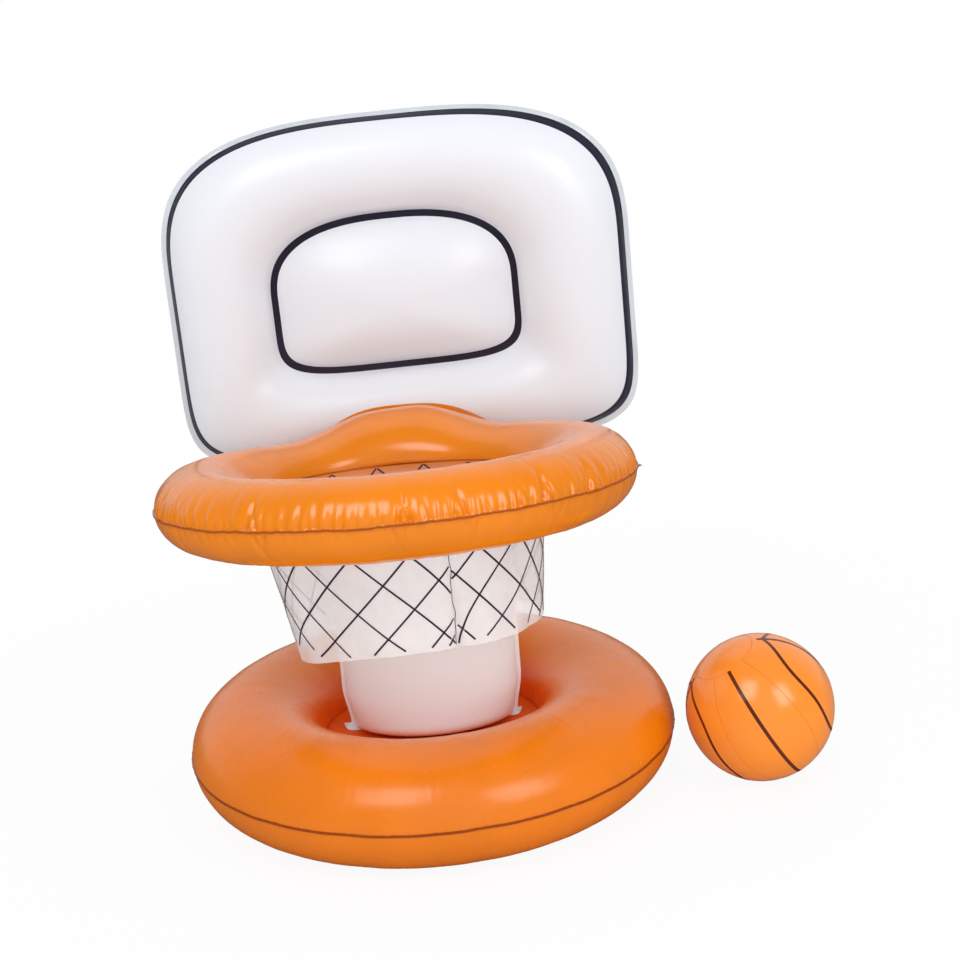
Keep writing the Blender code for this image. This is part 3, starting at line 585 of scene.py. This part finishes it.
# The darker weld colour is partly the welds' own tone and partly painted seam shade.
rim_look = vinyl("rim_vinyl_look", (0.805, 0.215, 0.0010), 0.22, grain=0.08, drift=0.4,
                 weld_color=(0.42, 0.075, 0.003), specular=0.9)
for name, side, marks, replaced in (("rim_upper_sheet", 1, upper_marks, "hoop_ring_upper_half"),
                                    ("rim_lower_sheet", -1, lower_marks, "hoop_ring_lower_half")):
    press = creases(rim_angles, rim_distance, rim_outer, marks)
    inner = creases(rim_angles, (pi - rim_arc) * rim_tube_radius, rim_hole,
                    gathers(41 + side, 70, 0.25 * mm, 2.6 * mm, 8 * mm, ()))
    bulge = rim_half_height * (1 - (0.30 * crown if side > 0 else 0.45 * lift))
    outline = tube_rows(rim_inner, rim_seam, rim_inner_lip, rim_lip, bulge, side, rim_arc, press + inner)
    points = moved(ring_matrix, round_ring(rim_angles, outline))
    # The lips take the weld colour, partly painted seam shade; the outer lip is left plain where it lifts to
    # the backboard.
    lip = np.zeros(outline.shape[:2])
    lip[:, :3] = 0.85 * (1 - lifted)
    lip[:, -4:] = 0.85
    dress(lofted(name, points, weld=lip), "hoop", "hoop_vinyl", rim_look, replaced, fill=1.0)


# Net skirt. One long strip of frosted, see-through film, its ends welded together in an upright seam that
# puckers in at the front right. Its top edge is welded under the rim's inner seam, its foot hangs open.
def skirt_drop(angle):
    side = np.where(np.cos(angle) > 0, 164 * mm, 186 * mm)
    end = np.where(np.sin(angle) > 0, skirt_height, 164 * mm)
    return side * np.cos(angle) ** 2 + end * np.sin(angle) ** 2


skirt_seam = radians(-73.5)
film_thickness = 0.5 * mm
hang = np.array(ring_tilt.inverted())


def skirt_point(angle, drop, inside=0.0):
    """Points of the skirt's outer face, drop metres below its top edge, or inside it."""
    angle, drop = np.asarray(angle, float), np.asarray(drop, float)
    share = drop / skirt_drop(angle)
    pleat = np.maximum(0, 1 - np.abs(angle - skirt_seam) / radians(3.2))
    flute = 2.2 * mm * np.cos(7 * angle) + 0.7 * mm * np.sin(17 * angle + 1) * share
    flute = flute * np.clip(0.5 - np.sin(angle), 0, 1) - 7 * mm * pleat ** 1.4
    radius = skirt_top_radius - inside + (skirt_hem_radius - skirt_top_radius + flute) * share
    place = np.stack([radius * np.cos(angle), radius * np.sin(angle),
                      np.full_like(radius, -skirt_lip_drop - 0.8 * mm)], -1)
    fall = np.stack([np.full_like(radius, skirt_shift.x), np.full_like(radius, skirt_shift.y), -drop], -1)
    fall[..., :2] *= share[..., None]
    return moved(ring_matrix, place + fall @ hang.T)


skirt_angles = np.sort(np.concatenate([np.linspace(-pi, pi, 240, endpoint=False),
                                       skirt_seam + np.radians(np.linspace(-3.2, 3.2, 9))]))
skirt_rows = []
for angle in skirt_angles:
    drops = np.linspace(0, 1, 25) * skirt_drop(angle)
    flat_angle = np.full(25, angle)
    outer = skirt_point(flat_angle, drops)
    inner = skirt_point(flat_angle, drops, film_thickness)
    lip_radius = rim_hole - 0.8 * mm
    lip = [ring_matrix @ Vector((radius * cos(angle), radius * sin(angle), -skirt_lip_drop - down))
           for radius, down in ((skirt_top_radius - 0.8 * mm, 0), (lip_radius, 0), (lip_radius, 0.8 * mm))]
    skirt_rows.append(np.concatenate([np.array(lip), outer, inner[::-1]]))
film = bpy.data.materials.new("skirt_film_look")
film.use_nodes = True
tree = film.node_tree
shader = tree.nodes["Principled BSDF"]
place = Shade(tree).node("ShaderNodeTexCoord", output="Object")
frost, ripples = place.noise(30, 3), place.noise(18, 1)
tint = frost.mix((0.93, 0.94, 0.95, 1), (0.98, 0.98, 0.98, 1))
top_band = place.marked("weld")
opacity = (0.42 + frost * 0.12) * (1 - top_band) + top_band * 0.96
tree.links.new(top_band.mix(tint, (0.80, 0.20, 0.003, 1)).socket, shader.inputs["Base Color"])
tree.links.new(opacity.socket, shader.inputs["Alpha"])
bump = ripples.node("ShaderNodeBump", {}, {"Height": ripples, "Strength": 0.25, "Distance": 1.5 * mm})
tree.links.new(bump.socket, shader.inputs["Normal"])
shader.inputs["Roughness"].default_value = 0.28
skirt_rows = np.array(skirt_rows)
band = np.zeros(skirt_rows.shape[:2])
band[:, :4] = 1
band[:, [4, -2]] = 0.85
band[:, -1] = 1
skirt = dress(lofted("net_skirt_film", skirt_rows, weld=band), "hoop", "net_vinyl", film, "net_skirt")


# Lattice print. Thin dark lines of ink cross on the skirt's outer face and make it look like a net. The
# pattern doesn't meet at the strip's welded seam, and the lines stop just above the hem.
ink = vinyl("lattice_ink_look", (0.030, 0.018, 0.042), 0.42, grain=0.05, mottle=0.3)
line_half_width, line_height = 1.05 * mm, 0.12 * mm
lattice_strips = ([], [])


def ribbon(strips, points, normals, half_width, height, depth=0.05 * mm):
    """Adds a printed line: a thin closed strip along points, on the surface with these normals."""
    verts, faces = strips
    tangents = unit(np.gradient(points, axis=0))
    sides = unit(np.cross(normals, tangents)) * half_width
    start = len(verts)
    for point, normal, side in zip(points, normals, sides):
        top, foot = point + normal * height, point - normal * depth
        verts += [tuple(corner) for corner in (top - side, top + side, foot + side, foot - side)]
    for step in range(len(points) - 1):
        low = start + 4 * step
        for corner in range(4):
            other = (corner + 1) % 4
            faces.append((low + corner, low + other, low + 4 + other, low + 4 + corner))
    last = start + 4 * (len(points) - 1)
    faces += [(start + 3, start + 2, start + 1, start), (last, last + 1, last + 2, last + 3)]


def skirt_normal(angle, drop):
    side = skirt_point(angle + 0.004, drop) - skirt_point(angle - 0.004, drop)
    fall = skirt_point(angle, drop + mm) - skirt_point(angle, drop - mm)
    return unit(np.cross(fall, side))


# Places on the skirt where the printed lines cross or end: degrees round it, and millimetres below its top.
# Columns -1 to 2 and 14 to 18 lie beside the welded seam, and the others stand evenly round the back.
crossings = {
    "upper": {-1: (-95, 82), 0: (-71, 79), 1: (-51.3, 78.1), 2: (-29, 79.5), 14: (211, 85.7),
              15: (235.2, 85.2), 16: (259.2, 83.3), 17: (281.7, 82.9), 18: (305.7, 83)},
    "middle": {-1: (-83, 110), 0: (-62.5, 106.2), 1: (-39, 109.5), 2: (-18.7, 110.5), 14: (219.3, 117.1),
               15: (245.5, 115.2), 16: (269.5, 111.4), 17: (291.5, 113)},
    "lower": {-1: (-71.2, 140.5), 0: (-52.3, 136.7), 1: (-24, 141), 14: (229.5, 149),
              15: (256.8, 145.2), 16: (280.8, 145.2)},
    "end_right": {-1: (-66.3, 157.6), 0: (-43.8, 156.7), 1: (-15.7, 156.7), 14: (237.3, 169),
                  15: (264.5, 163.8), 16: (287.3, 164.8)},
    "end_left": {-1: (-72.5, 162), 0: (-60, 155.7), 1: (-32.8, 158.6), 14: (218.5, 169.5),
                 15: (246.8, 167.1), 16: (272.5, 162.9)},
}


def crossing(row, column):
    if column in crossings[row]:
        return crossings[row][column]
    angle = -31.5 + 20 * (column - 2)
    return {"upper": (angle, 84), "middle": (angle + 10, 112), "lower": (angle + 20, 141),
            "end_right": (angle + 27, 162), "end_left": (angle + 13, 162)}[row]


lines = []
for column in range(-1, 20):
    angle, drop = crossing("upper", column)
    for turn, middle, lower, end in ((-10, column, column, "end_right"),
                                     (10, column - 1, column - 2, "end_left")):
        lines.append([(angle + turn * step, drop - 28 * step) for step in (3, 2, 1, 0)]
                     + [crossing("middle", middle), crossing("lower", lower), crossing(end, lower)])
for number, line in enumerate(lines):
    angles, drops = np.array(line).T
    curve = np.polyfit(drops, angles, 3)
    drops = np.linspace(max(drops[0], 0.6), drops[-1], 90)
    angles, drops = np.radians(np.polyval(curve, drops)), drops * mm
    inside = ((angles > skirt_seam + radians(0.3)) & (angles < skirt_seam + tau - radians(0.3))
              & (drops < skirt_drop(angles) - 3 * mm))
    if inside.sum() > 2:
        wrapped = (angles[inside] + pi) % tau - pi
        lift_off = line_height * (1 + 0.25 * (number % 2))
        ribbon(lattice_strips, skirt_point(wrapped, drops[inside]), skirt_normal(wrapped, drops[inside]),
               line_half_width, lift_off, film_thickness + line_height)
drops = np.linspace(1 * mm, 161 * mm, 120)
angles = skirt_seam + np.radians(0.35 * np.sin(drops / (9 * mm)) + 0.2 * np.sin(drops / (3.7 * mm)))
ribbon(lattice_strips, skirt_point(angles, drops), skirt_normal(angles, drops), 0.35 * mm, 2 * line_height)
lattice = dress(piece_from("net_lattice_print", shape_from(*lattice_strips)), "hoop", "net_vinyl", ink)


# Backboard. Front and rear sheets of white film, welded round the edge and again in an oval line, so that
# a fat tube runs round an inner pillow. The clear weld lip stays on, and two black lines are printed on the
# front: one beside the edge, wider at the upper right, and one along the oval weld.
board_middle = Vector((9, 245, 548.75)) * mm
board_matrix = (Matrix.Translation(hub + board_middle) @ Matrix.Rotation(radians(-1.2), 4, "Y")
                @ Matrix.Translation((0, 0, -board_middle.z)))
board_turns = np.linspace(-pi / 2, 1.5 * pi, 480, endpoint=False)


def board_outline(half_width, top_z, top_centre, top_power, bottom_z, bottom_centre, bottom_power):
    c, s = np.cos(board_turns), np.sin(board_turns)
    upper = s >= 0
    power = np.where(upper, top_power, bottom_power)
    x = half_width * np.abs(c) ** (2 / power) * np.sign(c)
    z = np.where(upper, top_centre + (top_z - top_centre) * np.abs(s) ** (2 / power),
                 bottom_centre - (bottom_centre - bottom_z) * np.abs(s) ** (2 / power))
    return np.stack([x, z], -1)


def panel_line(offset):
    """The oval weld between tube and pillow, or a line beside it."""
    line = board_outline(149 * mm + offset, 637 * mm + offset, 548 * mm, 2.5, 451 * mm - offset, 515 * mm,
                         4.6)
    line[:, 0] -= 8 * mm
    return line


lip_line = board_outline(287.5 * mm, 762 * mm, 580 * mm, 3.0, 335.5 * mm, 500 * mm, 6.0)
seam_line = board_outline(281.5 * mm, 757 * mm, 580 * mm, 3.0, 342 * mm, 500 * mm, 6.0)
weld_half_width = 4.2 * mm
weld_outer, weld_inner = panel_line(weld_half_width), panel_line(-weld_half_width)
tube_depth, pillow_depth = 42 * mm, 37 * mm
chord_half = np.linalg.norm(seam_line - weld_outer, axis=-1) / 2
tube_radius = (chord_half ** 2 + tube_depth ** 2) / (2 * tube_depth)
board_path = np.concatenate([[0], np.cumsum(np.linalg.norm(np.diff(seam_line, axis=0), axis=-1))])
board_girth = board_path[-1] + np.linalg.norm(seam_line[0] - seam_line[-1])
board_walk = board_path / board_girth * tau
lip_wave = waves(board_walk, (13, 22, 34, 51), 51) * 0.55 * mm
line_width = (15.5 + 3.5 * np.cos(board_turns + radians(35))) * mm
chance = random.Random(61)
board_marks = [(tau * (step + chance.uniform(-0.3, 0.3)) / 74, chance.uniform(0.1, 0.75) * mm, 4 * mm,
                chance.uniform(9, 22) * mm) for step in range(74)]
board_look = vinyl("board_vinyl_look", (0.785, 0.805, 0.855), 0.27, grain=0.05, drift=0.1, mottle=0.006)
lip_look = vinyl("board_lip_look", (0.64, 0.69, 0.74), 0.22, grain=0.12, mottle=0.05)
line_look = vinyl("board_line_look", (0.012, 0.012, 0.032), 0.34, grain=0.05, mottle=0.25)
plain, clear_lip, printed_line = 0, 1, 2
lip_shares = (1, 1, 0.67, 0.33)
panel_middle = np.array([-8 * mm, 531 * mm])
half_turn = np.arcsin(np.minimum(chord_half / tube_radius, 1))
arc_length = 2 * tube_radius * half_turn
line_share = np.minimum(line_width / arc_length, 0.2)
board_walks = np.concatenate([np.linspace(0, 0.999, 5)[:-1], np.linspace(1, 2, 5)[:-1],
                              np.linspace(2, 3, 40)])
for name, side, replaced in (("backboard_front_sheet", -1, "backboard_front_half"),
                             ("backboard_rear_sheet", 1, "backboard_rear_half")):
    loops = [(lip_line, lip_foot, clear_lip)]
    for step in (0, 0.33, 0.66):
        loops.append((lip_line + (seam_line - lip_line) * step, lip_top * 0.75, clear_lip))
    for walk in board_walks:
        part = np.where(walk <= 1, walk * line_share,
                        np.where(walk <= 2, line_share * (1 + (walk - 1) * 0.6),
                                 1.6 * line_share + (walk - 2) * (1 - 1.6 * line_share)))
        turn = half_turn * (1 - 2 * part)
        along = (chord_half - tube_radius * np.sin(turn)) / (2 * chord_half)
        rise = tube_radius * np.cos(turn) - (tube_radius - tube_depth)
        distance = part * arc_length
        drawn = np.zeros(len(board_turns))
        for angle, depth, width, reach in board_marks:
            aside = np.abs((board_walk - angle + pi) % tau - pi) * board_girth / tau
            drawn += depth * np.exp(-(aside / (width * (1 + distance / reach))) ** 2
                                    - (distance / reach) ** 2)
        rise = rise - drawn * (1 - np.exp(-distance / (2 * mm)))
        line = seam_line + (weld_outer - seam_line) * along[:, None]
        kind = printed_line if walk < 1 or walk == board_walks[-1] else plain
        loops.append((line, np.maximum(rise, lip_top), kind))
    for step in (0.5, 0, -0.5, -1):
        loops.append((panel_line(weld_half_width * step), lip_top, printed_line if step > -1 else plain))
    for step in range(1, 24):
        angle = pi / 2 * step / 24
        line = panel_middle + (weld_inner - panel_middle) * cos(angle)
        loops.append((line, max(pillow_depth * sin(angle) ** 1.6, lip_top), plain))
    shape = bmesh.new()
    rings = []
    for number, (line, height, kind) in enumerate(loops):
        wave = lip_wave * (lip_shares[number] if number < len(lip_shares) else 0)
        rings.append([shape.verts.new(point) for point in zip(line[:, 0], side * height + wave, line[:, 1])])
    for ring, after, (line, height, kind) in zip(rings, rings[1:], loops):
        bridge(shape, ring, after, kind if side < 0 or kind == clear_lip else plain)
    fan(shape, rings[-1], shape.verts.new((panel_middle[0], side * pillow_depth, panel_middle[1])))
    shape.faces.new(rings[0]).material_index = clear_lip
    sheet = piece_from(name, shape, board_matrix)
    for look in (board_look, lip_look, line_look):
        sheet.data.materials.append(look)
    dress(sheet, "backboard", "board_vinyl", None, replaced, fill=0.95)


# Ball. Six gores and two polar patches of bright orange film, welded edge to edge and blown up hard. It
# rests on a small flat beside the base ring.
ball_radius = 83.4 * mm
ball_middle = hub + Vector((0.370000, -0.078001, 0.0829))
ball_turn = (Matrix.Rotation(radians(-177.9), 4, "Z") @ Matrix.Rotation(radians(31.1), 4, "Y")
             @ Matrix.Rotation(radians(83.2), 4, "Z"))
ball_matrix = Matrix.Translation(ball_middle) @ ball_turn
cap_angle, core_radius = radians(26), ball_radius * 0.2
ball_look = vinyl("ball_vinyl_look", (0.98, 0.285, 0.026), 0.22, grain=0.04, drift=0.2, mottle=0.02,
                  specular=0.9, sockets={"Sheen Weight": 0.18, "Sheen Roughness": 0.35})


def on_ball(radius, polar, longitude):
    return np.stack([radius * np.sin(polar) * np.cos(longitude), radius * np.sin(polar) * np.sin(longitude),
                     radius * np.cos(polar)], -1)


def turned(name, profile, matrix, scale=mm, steps=48):
    """A piece turned from (radius, height) pairs; ends on the axis become one vertex each."""
    shape = bmesh.new()
    profile = np.array(profile) * scale
    turns = np.linspace(0, tau, steps, endpoint=False)
    rings = [[shape.verts.new((radius * cos(turn), radius * sin(turn), height)) for turn in turns]
             for radius, height in profile if radius > 0]
    for ring, after in zip(rings, rings[1:]):
        bridge(shape, ring, after)
    if profile[0][0] > 0:
        bridge(shape, rings[-1], rings[0])
    else:
        for ring, height in ((rings[0], profile[0][1]), (rings[-1], profile[-1][1])):
            fan(shape, ring, shape.verts.new((0, 0, height)))
    return piece_from(name, shape, matrix)


def rested(points):
    """The ball's points in the set's frame, pressed flat where they would go below the floor."""
    points = moved(ball_matrix, points)
    points[..., 2] = np.maximum(points[..., 2], 0)
    return points


seam_gap = 0.15 * mm
polar_rows = np.linspace(cap_angle + seam_gap / ball_radius, pi - cap_angle - seam_gap / ball_radius, 56)
for number in range(6):
    rows = []
    for share in np.linspace(-1, 1, 25):
        gap_angle = seam_gap / (ball_radius * np.sin(polar_rows))
        longitude = tau * number / 6 + (pi / 6 - gap_angle) * share
        seam_distance = (1 - abs(share)) * pi / 6 * ball_radius * np.sin(polar_rows)
        pinch = 0.22 * mm * np.exp(-(seam_distance / (1.6 * mm)) ** 2)
        pinch += 0.10 * mm * np.exp(-(seam_distance / (5 * mm)) ** 2) * (1 + np.sin(polar_rows * 95 + number))
        outer = on_ball(ball_radius - pinch, polar_rows, longitude)
        core_polar = polar_rows[[-1, 0]]
        core_gap = seam_gap / (core_radius * np.sin(core_polar))
        inner = on_ball(core_radius, core_polar, tau * number / 6 + (pi / 6 - core_gap) * share)
        rows.append(np.concatenate([outer, inner]))
    dress(lofted("ball_gore_panel_%d" % (number + 1), rested(np.array(rows)), closed=False), "ball",
          "ball_vinyl", ball_look, "ball_gore_%d" % (number + 1), fill=1.0)
cap_polar = np.linspace(0, cap_angle - seam_gap / ball_radius, 15)
for name, flip, replaced in (("ball_cap_panel_top", 1, "ball_cap_top"),
                             ("ball_cap_panel_bottom", -1, "ball_cap_bottom")):
    rim_pinch = 0.2 * mm * np.exp(-((cap_polar[-1] - cap_polar) * ball_radius / (1.6 * mm)) ** 2)
    profile = [(radius * sin(polar), flip * radius * cos(polar))
               for radius, polar in zip(ball_radius - rim_pinch, cap_polar)]
    core_edge = cap_polar[-1] - seam_gap / core_radius
    profile += [(core_radius * sin(core_edge), flip * core_radius * cos(core_edge)), (0, flip * core_radius)]
    cap = turned(name, profile, ball_matrix, scale=1, steps=96)
    for vertex in cap.data.vertices:
        vertex.co.z = max(vertex.co.z, 0)
    dress(cap, "ball", "ball_vinyl", ball_look, replaced, fill=1.0)


# Ball lines. The ball's dark brown lines are printed: two great circles through the poles, which stop at
# the polar patches, and curved lines that branch from one of them on both sides.
ball_strips = ([], [])
ball_valve_point = (0.289746, 0.017149, 0.088001)
ball_valve_clearance = 12.5 * mm


def ball_line(polar, longitude):
    points = rested(on_ball(ball_radius, polar, longitude))
    normals = unit(points - np.array(ball_middle))
    clear = np.linalg.norm(points - np.array(ball_valve_point), axis=-1) > ball_valve_clearance
    for run in np.split(np.arange(len(points)), np.flatnonzero(np.diff(clear.astype(int))) + 1):
        if clear[run[0]] and len(run) > 2:
            ribbon(ball_strips, points[run], normals[run], 2 * mm, 0.13 * mm)


for longitude, end in ((0, 26.5), (180, 26.5), (90, 30), (-90, 30)):
    ball_line(np.radians(np.linspace(end, 180 - end, 90)), np.full(90, radians(longitude)))
for mirror in (1, -1):
    for half in (0, 1):
        sweep = np.sin(np.linspace(-pi / 2, pi / 2, 110))
        polar = np.radians(90 + 56 * sweep)
        bow = np.radians(48 + 42 * np.abs(sweep) ** 4)
        ball_line(polar, mirror * (bow if half == 0 else pi - bow))
ball_ink = vinyl("ball_ink_look", (0.125, 0.022, 0.008), 0.24, grain=0.04, mottle=0.15)
dress(piece_from("ball_line_print", shape_from(*ball_strips)), "ball", "ball_vinyl", ball_ink)


# Air valves. Each is moulded of clear soft vinyl: a round flange welded to the sheet, a stem with a rolled
# collar that pushes in, and a plug that hangs on a bent strap. Profiles are in millimetres, from the sheet.
valve_look = vinyl("valve_vinyl_look", (0.84, 0.87, 0.90), 0.22, grain=0.05, mottle=0.02,
                   sockets={"Transmission Weight": 0.35})
flange_profile = [(4.8, 0.3), (10.7, 0.3), (11.0, 0.5), (11.0, 0.75), (10.8, 0.95), (10.3, 1.05),
                  (9.6, 1.1), (9.3, 1.25), (9.0, 1.3), (8.7, 1.25), (8.4, 1.1), (7.4, 1.1), (7.1, 1.25),
                  (6.8, 1.3), (6.5, 1.25), (6.2, 1.15), (5.4, 1.2), (4.95, 1.3), (4.8, 1.2)]
stem_profile = [(2.3, -3.0), (4.2, -3.0), (4.5, -2.7), (4.5, 7.0), (4.6, 7.3), (5.4, 7.4), (5.7, 7.6),
                (5.8, 7.9), (5.8, 8.5), (5.65, 8.8), (5.35, 9.0), (2.7, 9.0), (2.45, 8.9), (2.3, 8.6)]
plug_profile = [(0, 3.3), (1.6, 3.3), (2.0, 3.7), (2.1, 4.2), (2.0, 4.7), (2.0, 9.3), (5.7, 9.3),
                (5.95, 9.5), (6.0, 9.8), (6.0, 10.5), (5.9, 10.75), (5.6, 10.9), (3.4, 10.9),
                (2.9, 10.7), (0, 10.65)]
strap_top, strap_foot, strap_reach = Vector((6.3, 0, 10.1)), Vector((6.1, 0, 8.2)), 10.3
strap_half_width, strap_half_thickness = 1.6, 0.4
rim_turn = tau * 5 / 56
valves = (
    ("base", "base_float", (-0.085669, 0.277377, 0.102706), (0, 0.757933, 0.652332), (-1, 0, 0)),
    ("mast", "mast", (-0.082669, 0.076083, 0.156854), (0, 1, 0), (1, 0, 0)),
    ("hoop", "hoop", (0.103302, 0.076298, 0.329484), (0.46274, 0.192772, -0.865281),
     ring_tilt @ Vector((-sin(rim_turn), cos(rim_turn), 0))),
    ("board", "backboard", (-0.073522, 0.299083, 0.398533), (0, 1, 0), (1, 0, 0)),
    ("ball", "ball", ball_valve_point, (0.064931, 0.996014, 0.06116), (1, 0, 0)),
)
hosts = {"base": "base_ring_upper_sheet", "mast": "column_rear_sheet", "hoop": "rim_lower_sheet",
         "board": "backboard_rear_sheet", "ball": "ball_gore_panel_4"}
for prefix, host, point, axis, sideways in valves:
    out = Vector(axis).normalized()
    aside = (Vector(sideways) - out * Vector(sideways).dot(out)).normalized()
    place = Matrix.Translation(point) @ Matrix((aside, out.cross(aside), out)).transposed().to_4x4()
    well = turned(prefix + "_well", [(0, -9.5), (4.8, -9.5), (4.8, 12), (0, 12)], place)
    sheet = bpy.data.objects[hosts[prefix]]
    cutting = sheet.modifiers.new("well", "BOOLEAN")
    cutting.operation, cutting.solver, cutting.object = "DIFFERENCE", "EXACT", well
    evaluated = sheet.evaluated_get(bpy.context.evaluated_depsgraph_get())
    opened = bpy.data.meshes.new_from_object(evaluated)
    sheet.modifiers.clear()
    sheet.data = opened
    opened.set_sharp_from_angle(angle=crease_angle)
    bpy.data.objects.remove(well)
    for kind, form, profile, body in (("flange", "_disc", flange_profile, host),
                                      ("stem", "_tube", stem_profile, prefix + "_stem"),
                                      ("plug", "_cap", plug_profile, prefix + "_plug")):
        dress(turned(prefix + "_" + kind + form, profile, place), body, "valve_vinyl", valve_look,
              prefix + "_valve_" + kind)
    rise = (strap_top.z - strap_foot.z) / 2
    path = [strap_top]
    for step in range(17):
        angle = pi / 2 - pi * step / 16
        path.append(Vector((strap_reach - rise + rise * cos(angle), 0,
                            strap_foot.z + rise + rise * sin(angle))))
    path.append(strap_foot)
    sections = []
    for index, middle in enumerate(path):
        along = (path[min(index + 1, len(path) - 1)] - path[max(index - 1, 0)]).normalized()
        thick = Vector((-along.z, 0, along.x))
        section = []
        for step in range(16):
            angle = tau * step / 16
            wide = strap_half_width * np.sign(cos(angle)) * abs(cos(angle)) ** 0.5
            deep = strap_half_thickness * np.sign(sin(angle)) * abs(sin(angle)) ** 0.5
            section.append(place @ ((middle + thick * deep + Vector((0, wide, 0))) * mm))
        sections.append(section)
    strap = lofted(prefix + "_plug_strap", sections, closed=False)
    strap.data.materials.append(valve_look)
    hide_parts(prefix + "_valve_strap")
    place @ (strap_foot * mm)
    place @ (strap_top * mm)
    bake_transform(strap)


# Studio. A pale floor, an even white surround, two soft boxes, a higher one on the left and a lower one on
# the right of the camera, and a weak front fill that leaves no highlight.
floor_mesh = bpy.data.meshes.new("floor")
floor_reach = 14
floor_corners = [(x * floor_reach, y * floor_reach, 0) for x, y in ((-1, -1), (1, -1), (1, 1), (-1, 1))]
floor_mesh.from_pydata(floor_corners, [], [(0, 1, 2, 3)])
floor = bpy.data.objects.new("floor", floor_mesh)
floor.location.z = -0.3 * mm
scene.collection.objects.link(floor)
floor_look = bpy.data.materials.new("floor_look")
floor_look.use_nodes = True
tree = floor_look.node_tree
shader = tree.nodes["Principled BSDF"]
shader.inputs["Base Color"].default_value = (0.9, 0.9, 0.9, 1)
shader.inputs["Roughness"].default_value = 0.7
studio = Shade(tree)
direct = studio.node("ShaderNodeLightPath", output="Is Camera Ray")
shiny = studio.node("ShaderNodeLightPath", output="Is Glossy Ray")
place = studio.node("ShaderNodeNewGeometry", output="Position")
away = place.node("ShaderNodeVectorMath", {"operation": "LENGTH"}, {0: place}, 1).ramp(0.5, 1.6)
seen = studio.node("ShaderNodeMixShader", {}, {0: direct * (0.93 + away * 0.07),
                                               1: Shade(tree, shader.outputs[0]),
                                               2: studio.node("ShaderNodeEmission")})
dimmed = studio.node("ShaderNodeMixShader", {}, {0: shiny * 0.85, 1: seen})
tree.links.new(dimmed.socket, tree.nodes["Material Output"].inputs["Surface"])
floor_mesh.materials.append(floor_look)

world = bpy.data.worlds.new("surround")
scene.world = world
world.use_nodes = True
tree = world.node_tree
surround = Shade(tree)
direct = surround.node("ShaderNodeLightPath", output="Is Camera Ray")
shiny = surround.node("ShaderNodeLightPath", output="Is Glossy Ray")
through = surround.node("ShaderNodeLightPath", output="Is Transmission Ray")
way = surround.node("ShaderNodeTexCoord", output="Generated")
behind = way.node("ShaderNodeSeparateXYZ", {}, {0: way}, 1).ramp(-0.1, 0.9)
ambient = 0.80
white = direct.maths("ADD", direct, through, clamp=True)
even = ambient + white * (1 - ambient)
strength = even.node("ShaderNodeMix", {}, {0: shiny, 2: even, 3: 0.012 + behind * 0.75})
tree.nodes["Background"].inputs["Color"].default_value = (1, 1, 1, 1)
tree.links.new(strength.socket, tree.nodes["Background"].inputs["Strength"])

for name, azimuth, elevation, distance, size, power in (("soft_box_left", -25, 45, 2.6, 1.05, 14),
                                                        ("soft_box_right", 37, 27, 2.6, 0.95, 11.5),
                                                        ("front_fill", 4, 5, 3.2, 2.2, 18)):
    lamp = bpy.data.lights.new(name, "AREA")
    lamp.shape = "RECTANGLE"
    lamp.size, lamp.size_y, lamp.energy = size, size * 1.3, power
    box = bpy.data.objects.new(name, lamp)
    way = Vector((sin(radians(azimuth)) * cos(radians(elevation)),
                  -cos(radians(azimuth)) * cos(radians(elevation)), sin(radians(elevation))))
    aim = hub + Vector((0.05, 0, 0.3))
    box.location = aim + way * distance
    box.rotation_mode = "QUATERNION"
    box.rotation_quaternion = way.to_track_quat("Z", "Y")
    box.visible_glossy = name != "front_fill"
    scene.collection.objects.link(box)

scene.view_settings.view_transform = "Standard"
